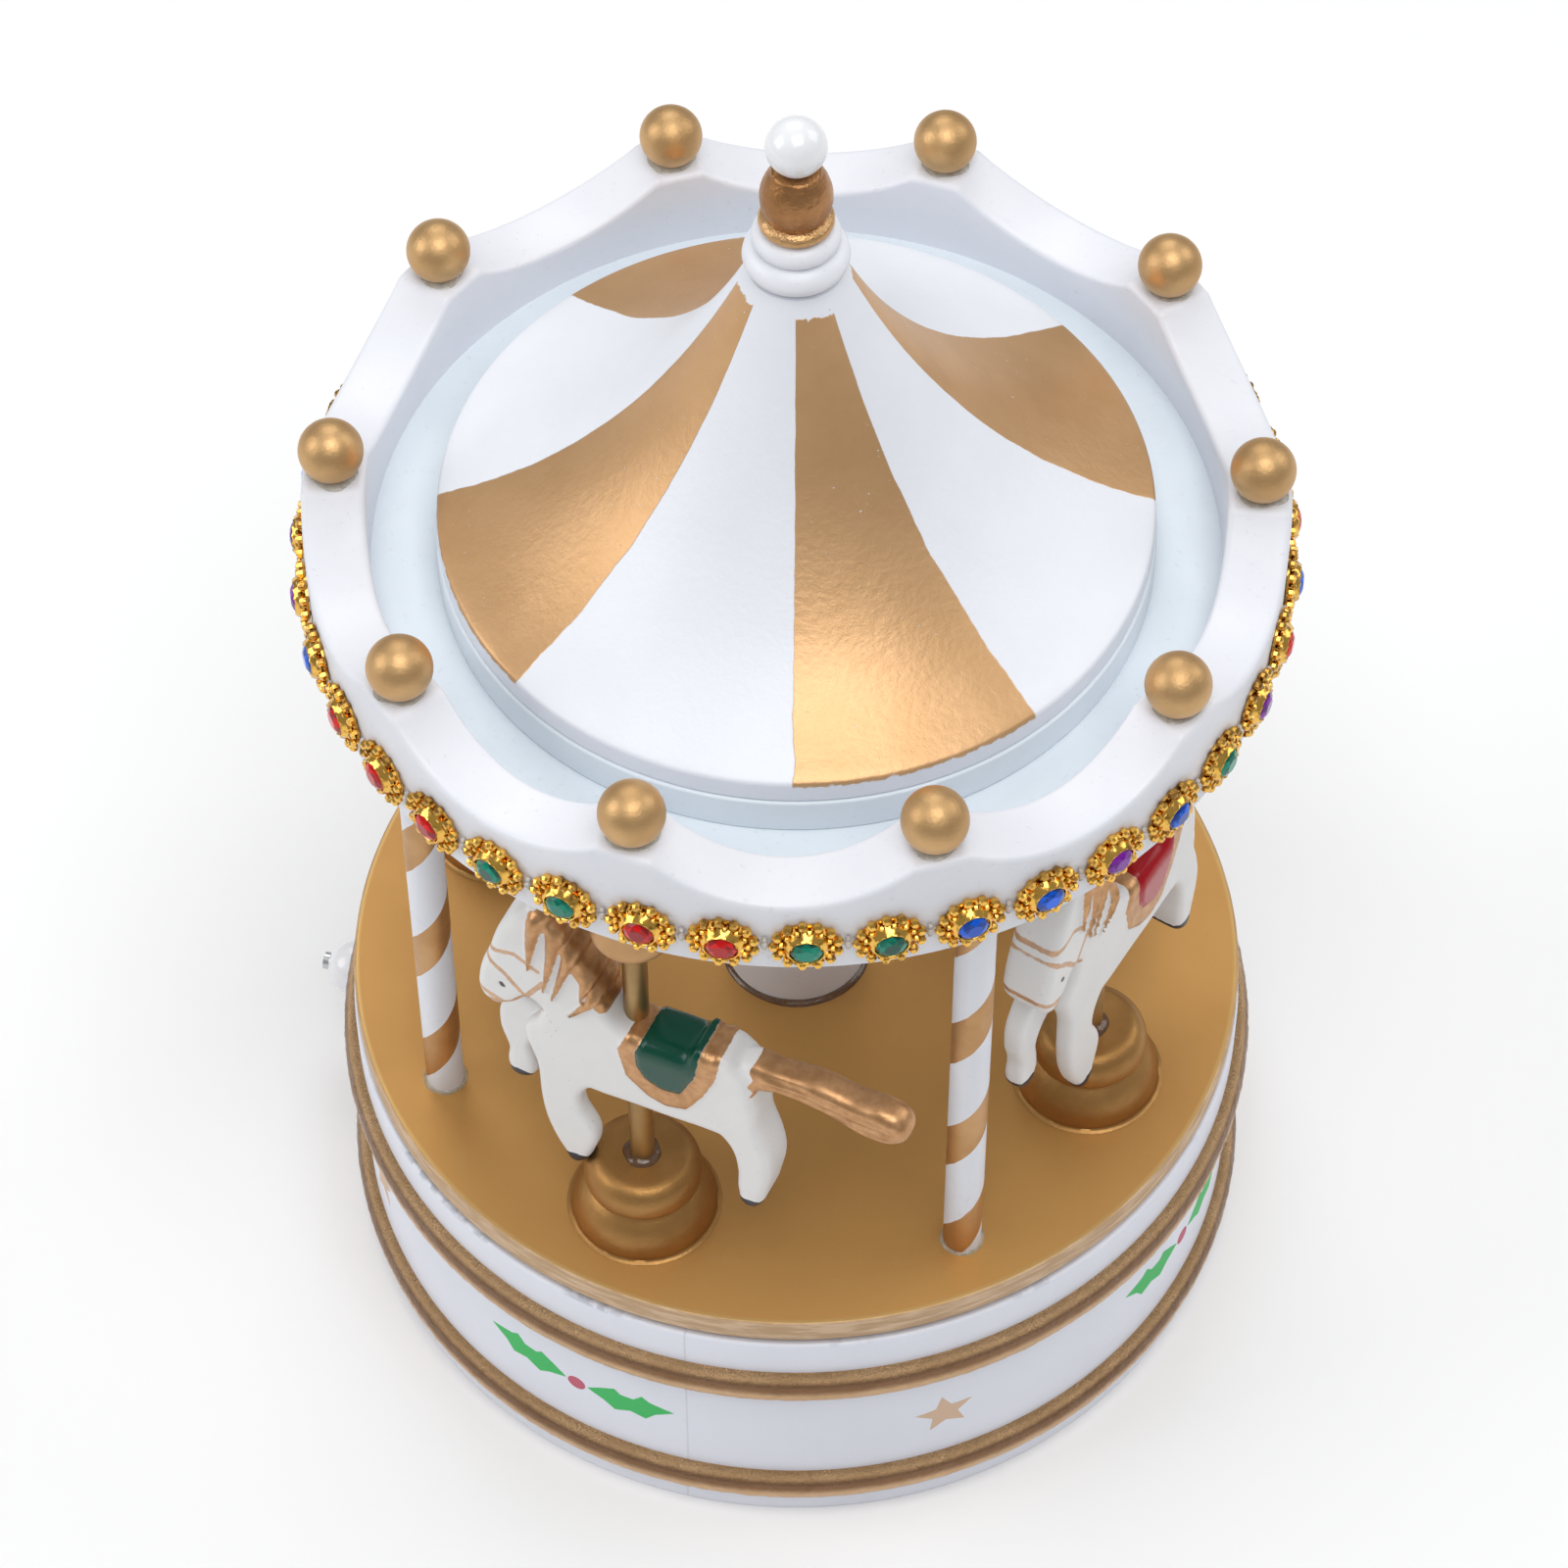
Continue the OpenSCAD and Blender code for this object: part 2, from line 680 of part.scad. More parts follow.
module pole_cup(i) {
    color("goldenrod") at_pole(i) translate([0, 0, cup_z]) difference() {
        turned([
            [0, 0], [cup_r * 0.72, 0], [cup_r * 0.93, 0.6], [cup_r, 1.8], [cup_r * 0.97, 3.2],
            [cup_r * 0.84, cup_h * 0.3], [cup_r * 0.72, cup_h * 0.55], [cup_r * 0.7, cup_h * 0.7],
            [cup_r * 0.86, cup_h * 0.78], [cup_r, cup_h * 0.88], [cup_r, cup_h], [0, cup_h]
        ]);
        translate([0, 0, -1]) cylinder(r = pole_r + eps, h = cup_h * 0.5 + 1);
    }
}

// ---- horse: a flat casting, nose along +X and its outer side along +Y, in heights above the deck ----

horse_trunk = [
    [-15.4, 45.2], [-13.8, 46], [-12.2, 45.6], [-10.4, 44.2], [-3, 43.8], [0.6, 43.8], [2.2, 46], [6, 53],
    [8.6, 58.4], [11.5, 61], [13.5, 60.6], [16.5, 57], [19.2, 50], [20.6, 44], [20.3, 40.8], [18.6, 39],
    [15.6, 40.6], [13, 42.6], [13.4, 37], [11.6, 31], [7, 28.2], [-10, 28.2], [-15, 29.5], [-17.6, 34],
    [-18, 40], [-17, 43.6]
];
horse_near_foreleg = [
    [13.4, 38], [12.8, 25], [12.9, 18], [10, 13.4], [7.4, 12.2], [5, 14.6], [3.6, 20], [5.6, 24], [5.2, 29],
    [2, 34]
];
horse_far_foreleg = [
    [8, 36], [14, 37], [17.6, 32], [17.4, 23], [16.4, 20.8], [13.2, 23.6], [12.4, 29], [8, 29]
];
horse_hind_leg = [
    [-9, 38], [-12.6, 29], [-13.4, 24], [-13.8, 16.6], [-16, 14.6], [-17.6, 15.2], [-19, 22], [-18.6, 31],
    [-17.6, 38]
];
horse_tail = [
    [-16, 45], [-22, 45.8], [-30, 45.8], [-34.5, 45.4], [-37, 43.5], [-36, 39.8], [-32.5, 38.4], [-28, 39.6],
    [-22, 41.2], [-17, 41.2]
];
horse_t = 6.4;
horse_y = 0.95;
leg_t = 3;

module slab(points, y, t) {
    translate([0, y, 0]) rotate([90, 0, 0]) linear_extrude(t, center = true) polygon(points);
}

module horse(i) {
    color("ivory") at_pole(i) rotate([0, 0, horse_turn[i - 1] - 90]) translate([0, 0, deck_z]) difference() {
        union() {
            slab(horse_trunk, horse_y, horse_t);
            slab(horse_hind_leg, horse_y, horse_t);
            slab(horse_tail, horse_y, horse_t - 1.8);
            slab(horse_near_foreleg, horse_y + (horse_t - leg_t) / 2, leg_t);
            slab(horse_far_foreleg, horse_y - (horse_t - leg_t) / 2, leg_t);
        }
        cylinder(r = pole_r + 0.02, h = clear_h);
    }
}

// ---- canopy and roof ----

module canopy_board() {
    color("white") translate([0, 0, canopy_z]) difference() {
        cylinder(r = ring_in - socket_gap, h = canopy_t, $fn = 96);
        translate([0, 0, -1]) cylinder(r = column_r + socket_gap, h = socket_d + 1);
        for (i = [0:bays - 1])
            at_angle(pillar_a + i * bay_step, pillar_ring) translate([0, 0, -1])
                cylinder(r = pillar_r + socket_gap, h = socket_d + 1);
    }
}

module crown_ring() {
    flat_w = 7;
    gap_w = 2 * (base_r - ring_w / 2) * sin(ball_step / 2) - flat_w;
    cut_r = (gap_w * gap_w / 4 + scallop_d * scallop_d) / (2 * scallop_d);
    color("white") difference() {
        translate([0, 0, canopy_z]) cylinder(r = base_r, h = ring_h, $fn = 96);
        translate([0, 0, canopy_z - 1]) cylinder(r = ring_in, h = ring_h + 2, $fn = 96);
        for (i = [0:ball_n - 1])
            rotate([0, 0, ball_a + (i + 0.5) * ball_step]) translate([0, 0, valley_z + cut_r])
                x_rod(cut_r, ring_in - 8, base_r + 8);
        for (i = [0:bays - 1])
            at_angle(pillar_a + i * bay_step, pillar_ring) translate([0, 0, canopy_z - 1])
                cylinder(r = pillar_r + socket_gap, h = socket_d + 1);
        crown_ball_places() sphere(ball_r + eps);
    }
}

module crown_ball_places() {
    for (i = [0:ball_n - 1])
        at_angle(ball_a + i * ball_step, ball_ring) translate([0, 0, peak_z + ball_r - ball_sink]) children();
}

module crown_balls() {
    color("goldenrod") crown_ball_places() sphere(ball_r);
}

module flower_places() {
    for (i = [0:flower_n - 1]) at_angle(flower_a + i * 360 / flower_n, base_r)
        translate([0, 0, flower_z]) children();
}

module trim_band() {
    band_h = 3;
    band_t = 0.5;
    flower_t = 0.9;
    flower_x = 0.2;
    color("gold") {
        difference() {
            translate([0, 0, flower_z - band_h / 2]) cylinder(r = base_r + band_t, h = band_h, $fn = 96);
            translate([0, 0, flower_z - band_h]) cylinder(r = base_r + eps, h = band_h * 2, $fn = 96);
        }
        flower_places() x_rod(flower_r, flower_x, flower_x + flower_t);
    }
}

module trim_gems() {
    setting_t = 0.4;
    gem_r = 2.6;
    color("crimson") flower_places() translate([1.1, 0, 0]) rotate([0, 90, 0]) {
        cylinder(r = gem_r, h = setting_t, $fn = 24);
        translate([0, 0, setting_t]) cylinder(r1 = gem_r - 0.2, r2 = gem_r - 1.2, h = 0.9, $fn = 24);
    }
}

module roof_disc() {
    color("white") translate([0, 0, tray_z]) cylinder(r = roof_r, h = roof_disc_t, $fn = 96);
}

// Height of the tent-shaped roof above its rim at a radius: shallow at the eaves and steep at the neck
function tent_z(r) = tent_rise * (exp(tent_bend * (1 - r / cone_r)) - 1);

module roof_cone() {
    steps = 14;
    color("white") translate([0, 0, roof_z])
        turned(concat(
            [[0, 0], [cone_r, 0]],
            [for (i = [0:steps]) let (r = cone_r + (neck_r - cone_r) * i / steps) [r, roof_rim_h + tent_z(r)]],
            [[0, roof_rim_h + roof_h]]
        ));
}

// Half-round bead of a turned shape, as points from its lower to its upper edge
function bead_points(z, r, h, neck) = [for (a = [-80:20:80]) [neck + (r - neck) * cos(a), z + h / 2 * sin(a)]];

module finial() {
    color("white") translate([0, 0, neck_z]) turned(concat(
        [[0, 0]],
        bead_points(finial_h * 0.22, finial_r, finial_h * 0.44, 3.4),
        bead_points(finial_h * 0.55, finial_r - 1.1, finial_h * 0.3, 3),
        bead_points(finial_h * 0.86, finial_r - 1.9, finial_h * 0.27, 2.6),
        [[0, finial_h]]
    ));
}

module finial_bulb() {
    color("goldenrod") translate([0, 0, bulb_z]) turned(concat(
        [[0, 0]],
        [for (a = [-60:15:75]) [bulb_r * cos(a), bulb_h * (0.48 + sin(a) / 2)]],
        [[0, bulb_h]]
    ));
}

module finial_ball() {
    sink = 0.35;
    color("white") difference() {
        translate([0, 0, bulb_z + bulb_h + top_ball_r - sink]) sphere(top_ball_r);
        translate([0, 0, bulb_z]) cylinder(r = bulb_r, h = bulb_h + eps);
    }
}

// ---- what is drawn ----

drum_wall();
upper_bead();
lower_bead();
top_board();
spindle_bush();
bottom_board();
bottom_screws();
movement_plate();
movement_screws();
comb();
comb_screws();
governor_bracket();
spring_barrel();
mainspring();
barrel_spindle();
platform_hub();
platform();
centre_column();
pillar(1);  // pillar_1
pillar(2);  // pillar_2
pillar(3);  // pillar_3
pillar(4);  // pillar_4
pedestal(1);  // pedestal_1
pedestal(2);  // pedestal_2
pedestal(3);  // pedestal_3
pedestal(4);  // pedestal_4
pole(1);  // pole_1
pole(2);  // pole_2
pole(3);  // pole_3
pole(4);  // pole_4
pole_cup(1);  // pole_cup_1
pole_cup(2);  // pole_cup_2
pole_cup(3);  // pole_cup_3
pole_cup(4);  // pole_cup_4
horse(1);  // horse_1
horse(2);  // horse_2
horse(3);  // horse_3
horse(4);  // horse_4
canopy_board();
crown_ring();
crown_balls();
trim_band();
trim_gems();
roof_disc();
roof_cone();
finial();
finial_bulb();
finial_ball();
music_cylinder();
cylinder_arbor();
cylinder_wheel();
second_arbor();
worm_wheel();
governor_worm();
governor_fan();
winding_arbor();
winding_key();
stop_rod();
stop_knob();
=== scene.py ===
# %% [markdown]
# # A carousel music box
# A turned wooden drum holds a wind-up comb movement. On it turns a gold platform with four horses on
# poles under a striped tent roof. The working model gives every piece's place and motion; this notebook
# gives each piece its finished surface. Measures are in millimetres and become metres in the meshes.

# %% Load the working model
import math
import random

import bmesh
import bpy
import numpy as np
from mathutils import Matrix, Vector, noise


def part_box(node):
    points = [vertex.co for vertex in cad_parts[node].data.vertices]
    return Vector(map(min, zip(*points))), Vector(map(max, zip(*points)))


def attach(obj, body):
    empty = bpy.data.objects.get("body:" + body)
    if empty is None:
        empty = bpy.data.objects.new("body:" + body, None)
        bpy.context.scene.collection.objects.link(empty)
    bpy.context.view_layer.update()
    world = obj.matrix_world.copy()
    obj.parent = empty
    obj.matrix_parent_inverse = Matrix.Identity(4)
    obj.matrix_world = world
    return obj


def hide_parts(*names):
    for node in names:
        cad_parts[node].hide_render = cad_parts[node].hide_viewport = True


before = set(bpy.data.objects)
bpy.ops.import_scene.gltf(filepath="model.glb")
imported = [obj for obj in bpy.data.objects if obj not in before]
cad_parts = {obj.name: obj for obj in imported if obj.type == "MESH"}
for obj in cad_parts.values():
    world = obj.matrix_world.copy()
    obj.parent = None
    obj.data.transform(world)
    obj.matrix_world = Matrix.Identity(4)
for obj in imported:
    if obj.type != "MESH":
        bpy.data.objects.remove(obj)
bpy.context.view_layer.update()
MM = 0.001
TAU = 2 * math.pi
BAYS = 4


def add_object(name, data):
    """Shows this data as an object of the scene."""
    made = bpy.data.objects.new(name, data)
    bpy.context.scene.collection.objects.link(made)
    return made


def top_of(node):
    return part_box(node)[1][2] / MM


def bottom_of(node):
    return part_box(node)[0][2] / MM


DECK_Z = top_of("platform")
DECK_UNDER = bottom_of("platform")
DRUM_TOP = top_of("drum_wall")
CANOPY_Z = bottom_of("canopy_board")
TRAY_Z = top_of("canopy_board")
PEAK_Z = top_of("crown_ring")
ROOF_Z = top_of("roof_disc")
NECK_Z = top_of("roof_cone")
BASE_R = 60.0
SKIN_R = 60.3
print(f"deck {DECK_Z:.1f}, canopy {CANOPY_Z:.1f}, roof {ROOF_Z:.1f} to {NECK_Z:.1f} mm above the foot")

# %% [markdown]
# ## Camera
# A long lens looks down at about 53 degrees, so the upright pillars stay nearly parallel and both the
# roof and the platform are seen. The lens is long and far away, which is how small goods are shown.

# %% Camera
camera_data = bpy.data.cameras.new("camera")
camera = add_object("camera", camera_data)
bpy.context.scene.camera = camera
CAMERA_AT = Vector((0.0, -412.4, 630.6)) * MM
LOOK_AT = Vector((-1.6, 0.0, 82.7)) * MM
ROLL = math.radians(-0.18)
facing = (LOOK_AT - CAMERA_AT).to_track_quat("-Z", "Y").to_matrix().to_4x4()
camera.matrix_world = Matrix.Translation(CAMERA_AT) @ facing @ Matrix.Rotation(ROLL, 4, "Z")
camera_data.sensor_width = 36
camera_data.lens = 120.86
camera_data.clip_start = 0.01
camera_data.clip_end = 20
print("camera", [round(c, 4) for c in CAMERA_AT])

# %% [markdown]
# ## Floor and light
# A white sweep and broad soft lamps give the even look of a light tent. Metallic paint only shows its
# colour when it has something to reflect, so the lamps are large panels at different strengths, and the
# sky is dim, because a bright one would wash the gold out.

# %% Floor and light
FLOOR_HALF = 3.0
corners = [(x * FLOOR_HALF, y * FLOOR_HALF, 0) for x, y in ((-1, -1), (1, -1), (1, 1), (-1, 1))]
floor_mesh = bpy.data.meshes.new("floor")
floor_mesh.from_pydata(corners, [], [(0, 1, 2, 3)])
floor = add_object("floor", floor_mesh)
floor_white = bpy.data.materials.new("floor_white")
floor_white.use_nodes = True
floor_shader = floor_white.node_tree.nodes["Principled BSDF"]
floor_shader.inputs["Base Color"].default_value = (0.93, 0.93, 0.93, 1)
floor_shader.inputs["Roughness"].default_value = 0.9
floor_mesh.materials.append(floor_white)


def panel(name, at, size, watts):
    light = bpy.data.lights.new(name, "AREA")
    light.shape = "RECTANGLE"
    light.size, light.size_y = size
    light.energy = watts
    made = add_object(name, light)
    made.location = at
    made.rotation_euler = (Vector((0, 0, 0.1)) - Vector(at)).to_track_quat("-Z", "Y").to_euler()


panel("top_panel", (0.10, -0.42, 1.30), (0.8, 0.8), 8.6)
panel("left_panel", (-1.05, -0.10, 0.70), (0.7, 0.7), 4.3)
panel("right_panel", (0.95, 0.30, 0.80), (0.7, 0.7), 2.8)
panel("back_panel", (-0.10, 0.80, 1.15), (0.9, 0.7), 4.2)
world = bpy.data.worlds.new("sky")
bpy.context.scene.world = world
world.use_nodes = True
sky = world.node_tree.nodes["Background"]
sky.inputs["Color"].default_value = (0.96, 0.98, 1.0, 1)
sky.inputs["Strength"].default_value = 0.33
bpy.context.scene.view_settings.view_transform = "Standard"
print("stage and", len(bpy.data.lights), "lamps")

# %% [markdown]
# ## Writing materials as sums
# A material here is a small program. `Wire` wraps a socket so that `1 - mask * 0.4` adds the Math nodes
# for it, and `add_node` adds any other node from its type, its inputs and its settings.

# %% Wires
def add_node(tree, kind, inputs=None, **settings):
    """Adds a node, then links each input that is a wire or a socket and sets each one that is a value."""
    made = tree.nodes.new(kind)
    for key, value in settings.items():
        setattr(made, key, value)
    for key, value in (inputs or {}).items():
        source = value.socket if isinstance(value, Wire) else value
        if isinstance(source, bpy.types.NodeSocket):
            tree.links.new(source, made.inputs[key])
        else:
            made.inputs[key].default_value = source
    return made


class Wire:
    def __init__(self, paint, socket):
        self.paint = paint
        self.socket = socket

    def maths(self, operation, *others):
        return self.paint.node("ShaderNodeMath", dict(enumerate((self,) + others)), operation=operation)

    def __add__(self, other):
        return self.maths("ADD", other)

    __radd__ = __add__

    def __mul__(self, other):
        return self.maths("MULTIPLY", other)

    __rmul__ = __mul__

    def __sub__(self, other):
        return self.maths("SUBTRACT", other)

    def __rsub__(self, other):
        return self.paint.node("ShaderNodeMath", {0: other, 1: self}, operation="SUBTRACT")

    def __truediv__(self, other):
        return self.maths("DIVIDE", other)

    def ramp(self, low, high, to_low=0.0, to_high=1.0):
        """Runs smoothly from to_low at low to to_high at high, and holds outside."""
        return self.paint.node(
            "ShaderNodeMapRange",
            {"Value": self, "From Min": low, "From Max": high, "To Min": to_low, "To Max": to_high},
            interpolation_type="SMOOTHSTEP")


print("wires ready")

# %% [markdown]
# ## The parts of a paint
# Every finish here is one surface shader with something small going on over it: clouds of colour, grain,
# pits, flakes. `Paint` holds the few steps they share, so that each finish below reads as a short recipe.
# Patterns follow the object's own coordinates, so they stay put when a piece turns.

# %% Paints
class Paint:
    def __init__(self, name, **fixed):
        self.material = bpy.data.materials.new(name)
        self.material.use_nodes = True
        self.tree = self.material.node_tree
        self.shader = self.tree.nodes["Principled BSDF"]
        for key, value in fixed.items():
            self.shader.inputs[key.replace("_", " ")].default_value = value

    def node(self, kind, inputs=None, out=0, **settings):
        return Wire(self, add_node(self.tree, kind, inputs, **settings).outputs[out])

    def place(self):
        return self.node("ShaderNodeTexCoord", out="Object")

    def along(self):
        """x, y and z of the place, in millimetres."""
        scaled = self.node("ShaderNodeVectorMath", {0: self.place(), "Scale": 1 / MM}, operation="SCALE")
        return [self.node("ShaderNodeSeparateXYZ", {0: scaled}, out=i) for i in range(3)]

    def turn_of(self, x, y):
        """The angle round the object's axis."""
        return self.node("ShaderNodeMath", {0: y, 1: x}, operation="ARCTAN2")

    def grain(self, size, detail=3.0, rough=0.55, stretch=(1, 1, 1), seed=0.0):
        """Noise from 0 to 1, whose lumps are about size millimetres."""
        scale = [s / (size * MM) for s in stretch]
        shift = (seed, seed * 0.7, seed * 0.3)
        where = self.node("ShaderNodeMapping", {"Vector": self.place(), "Scale": scale, "Location": shift})
        return self.noise(where, detail, rough)

    def noise(self, where, detail, rough):
        settings = {"Vector": where, "Scale": 1.0, "Detail": detail, "Roughness": rough}
        return self.node("ShaderNodeTexNoise", settings)

    def mix(self, amount, one, other):
        colours = [c if isinstance(c, Wire) else (*c, 1) for c in (one, other)]
        inputs = {0: amount, 6: colours[0], 7: colours[1]}
        return self.node("ShaderNodeMix", inputs, out=2, data_type="RGBA")

    def bump(self, height, depth, under=None):
        inputs = {"Height": height, "Distance": depth * MM, "Strength": 1.0}
        if under:
            inputs["Normal"] = under
        return self.node("ShaderNodeBump", inputs)

    def wear(self, **channels):
        for key, value in channels.items():
            self.tree.links.new(value.socket, self.shader.inputs[key.replace("_", " ")])
        return self.material


print("paints ready")

# %% [markdown]
# ## White paint
# The wood is sanded, primed and sprayed, so the white is smooth but not perfect: it has a soft orange
# peel, a little grime and a cool tint. Small pits are bump; the colour only varies by a few percent.

# %% White paint
WHITE = (0.79, 0.80, 0.85)
WHITE_SHADE = (0.71, 0.73, 0.795)


def white_paint(name, base=WHITE, shade=WHITE_SHADE):
    paint = Paint(name, Specular_IOR_Level=0.45)
    cloud = paint.grain(14, 4).ramp(0.35, 0.75)
    pits = paint.grain(0.9, 2, 0.6, seed=3).ramp(0.66, 0.74)
    colour = paint.mix(cloud * 0.35, base, shade)
    colour = paint.mix(pits * 0.12, colour, (0.45, 0.44, 0.42))
    relief = paint.bump(paint.grain(1.6, 3, 0.6), 0.05)
    relief = paint.bump(1 - pits, 0.03, relief)
    return paint.wear(Base_Color=colour, Roughness=0.38 + cloud * 0.12, Normal=relief)


WHITE_PAINT = white_paint("white_paint")
TRAY_WHITE = white_paint("tray_white", (0.74, 0.80, 0.85), (0.66, 0.72, 0.77))
print(WHITE_PAINT.name, TRAY_WHITE.name)

# %% [markdown]
# ## Gold paint
# Gold paint is metal flakes in varnish. It is rougher than real metal, and its brush and spray marks
# show as a fine crinkle. The flakes are drawn as a fine noise that changes roughness and bump together.

# %% Gold paints
def gold_paint(name, base, deep, roughness=0.36, crinkle=0.06, size=0.7, metal=0.82):
    paint = Paint(name)
    cloud = paint.grain(6, 3, seed=1).ramp(0.3, 0.7)
    flakes = paint.grain(0.16, 1, seed=2)
    wrinkles = paint.grain(size, 3, 0.65, seed=5)
    bright = tuple(min(1.0, c * 1.35) for c in base)
    colour = paint.mix(cloud * 0.6, base, deep)
    colour = paint.mix(flakes.ramp(0.62, 0.78) * 0.35, colour, bright)
    relief = paint.bump(wrinkles, crinkle)
    relief = paint.bump(flakes, 0.006, relief)
    shine = roughness + cloud * 0.08 + flakes * 0.10
    return paint.wear(Base_Color=colour, Roughness=shine, Normal=relief, Metallic=metal + cloud * 0.05)


GOLD_PAINT = gold_paint("gold_paint", (0.56, 0.33, 0.15), (0.46, 0.25, 0.10))
PEDESTAL_GOLD = gold_paint("pedestal_gold", (0.43, 0.23, 0.075), (0.33, 0.165, 0.05), 0.34, 0.05, 0.6)
BALL_GOLD = gold_paint("ball_gold", (0.62, 0.39, 0.18), (0.50, 0.30, 0.13), 0.36, 0.05, 0.5)
POLE_GOLD = gold_paint("pole_gold", (0.42, 0.27, 0.11), (0.30, 0.18, 0.07), 0.30, 0.03, 0.6)
ACORN_GOLD = gold_paint("acorn_gold", (0.44, 0.22, 0.09), (0.28, 0.13, 0.045), 0.27, 0.16, 0.8, 0.9)
COLLAR_GOLD = gold_paint("collar_gold", (0.66, 0.40, 0.19), (0.46, 0.26, 0.10), 0.26, 0.20, 0.7, 0.9)
print("six gold paints")

# %% [markdown]
# ## Turning shapes on a lathe
# Most of this object is turned wood. `lathe` spins an outline of (radius, height) points; `eased` first
# rounds the outline's corners, because a sprayed wooden edge is never sharp. A closed outline gives a
# ring. The normals are recalculated after the spin, because a spin can turn a shape inside out.

# %% Lathe
def eased(outline, radius, steps=4, closed=False):
    """The outline with each inner corner replaced by a short curve."""
    count = len(outline)
    out = []
    for i, point in enumerate(outline):
        if not closed and i in (0, count - 1):
            out.append(point)
            continue
        here = Vector(point)
        before, after = Vector(outline[i - 1]), Vector(outline[(i + 1) % count])
        reach = min(radius, (before - here).length * 0.45, (after - here).length * 0.45)
        start = here + (before - here).normalized() * reach
        end = here + (after - here).normalized() * reach
        for k in range(steps + 1):
            t = k / steps
            out.append(tuple((1 - t) ** 2 * start + 2 * t * (1 - t) * here + t * t * end))
    return out


def to_object(name, points, faces, materials, smooth=40, indices=None):
    """A mesh object at the origin, in metres, with its faces pointing outwards."""
    mesh = bpy.data.meshes.new(name)
    mesh.from_pydata([tuple(c * MM for c in p) for p in points], [], faces)
    for material in materials:
        mesh.materials.append(material)
    if indices:
        mesh.polygons.foreach_set("material_index", indices)
    work = bmesh.new()
    work.from_mesh(mesh)
    bmesh.ops.remove_doubles(work, verts=work.verts, dist=1e-8)
    bmesh.ops.recalc_face_normals(work, faces=work.faces)
    work.to_mesh(mesh)
    work.free()
    mesh.shade_smooth()
    mesh.set_sharp_from_angle(angle=math.radians(smooth))
    return add_object(name, mesh)


def wall(rows, sides, ring=False):
    """Faces of a tube made of rows of `sides` points. A ring also joins its last row to its first."""
    faces = []
    for row in range(rows if ring else rows - 1):
        low, high = row * sides, (row + 1) % rows * sides
        for k in range(sides):
            after = (k + 1) % sides
            faces.append((low + k, low + after, high + after, high + k))
    return faces


def lathe_mesh(outline, turns=192, closed=False, centre=(0, 0), wobble=None):
    """Points and faces of a turned shape. An outline point on the axis becomes one pole."""
    points, rows = [], []
    for r, z in outline:
        if r < 1e-6:
            rows.append([len(points)] * turns)
            points.append((centre[0], centre[1], z))
            continue
        rows.append(list(range(len(points), len(points) + turns)))
        for k in range(turns):
            angle = TAU * k / turns
            reach = r + (wobble(r, z, angle) if wobble else 0)
            points.append((centre[0] + reach * math.cos(angle), centre[1] + reach * math.sin(angle), z))
    faces = []
    pairs = list(zip(rows, rows[1:])) + ([(rows[-1], rows[0])] if closed else [])
    for low, high in pairs:
        for k in range(turns):
            after = (k + 1) % turns
            loop = list(dict.fromkeys([low[k], low[after], high[after], high[k]]))
            if len(loop) > 2:
                faces.append(loop)
    return points, faces


def lathe(name, outline, material, turns=192, closed=False, centre=(0, 0), wobble=None, smooth=40):
    points, faces = lathe_mesh(outline, turns, closed, centre, wobble)
    return to_object(name, points, faces, [material], smooth)


def place_piece(piece, body, slot, *nodes):
    """Says which body carries the piece and which CAD nodes it stands for; the slot is not used."""
    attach(piece, body)
    if nodes:
        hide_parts(*nodes)
    print(f"{piece.name}: {len(piece.data.polygons)} faces on {body}")
    return piece


def turned_piece(name, outline, material, slot, *nodes, body="carousel", foot=0.0, **how):
    """Turns and places a piece, whose outline gives heights above its foot."""
    piece = lathe(name, [(r, foot + h) for r, h in outline], material, **how)
    return place_piece(piece, body, slot, *nodes)


def around(radius, angle):
    return radius * math.cos(angle), radius * math.sin(angle)


print("lathe ready")

# %% [markdown]
# ## The drum
# The drum is one turned tube with a shoulder inside for its bottom board. It is painted white, and the
# foot stands out a little under the lower bead. A faint seam in the paint runs down the front left. Along
# its top edge, in the gap under the platform, a patchy band of painted shade darkens the white.

# %% Drum
BEAD_H = 5.4
LOW_BEAD_Z = 6.5
HIGH_BEAD_Z = DRUM_TOP - 9.3
SEAM_ANGLE = math.radians(-104)
FOOT_R = 60.9
BORE_R = 51.0
BOTTOM_SEAT_R, BOTTOM_SEAT_Z = 56.0, 12.0
TOP_SEAT_R, TOP_SEAT_Z = 54.0, DRUM_TOP - 3.5


def drum_paint():
    paint = Paint("drum_paint", Specular_IOR_Level=0.45)
    x, y, z = paint.along()
    seam = (paint.turn_of(x, y) - SEAM_ANGLE).maths("ABSOLUTE").ramp(0.0, 0.0035, 1.0, 0.0)
    cloud = paint.grain(16, 4).ramp(0.35, 0.75)
    specks = paint.grain(1.1, 2, 0.6, seed=3).ramp(0.70, 0.76)
    # Painted shade: a patchy dark bluish band along the top edge of the drum, in the gap under the platform.
    edge = z.ramp(DRUM_TOP - 0.7, DRUM_TOP - 0.1) * paint.grain(1.5, 2, seed=7).ramp(0.4, 0.6)
    edge = edge * paint.grain(26, 2, seed=19).ramp(0.5, 0.6)
    colour = paint.mix(cloud * 0.3, (0.79, 0.805, 0.885), (0.71, 0.73, 0.81))
    colour = paint.mix(specks * 0.12, colour, (0.42, 0.42, 0.42))
    # The band of painted shade under the platform darkens the white here.
    colour = paint.mix(edge * 0.45, colour, (0.22, 0.24, 0.30))
    colour = paint.mix(seam * 0.25, colour, (0.5, 0.5, 0.52))
    relief = paint.bump(paint.grain(2.2, 3, 0.6), 0.05)
    relief = paint.bump(seam, 0.06, relief)
    return paint.wear(Base_Color=colour, Roughness=0.34 + cloud * 0.12, Normal=relief)


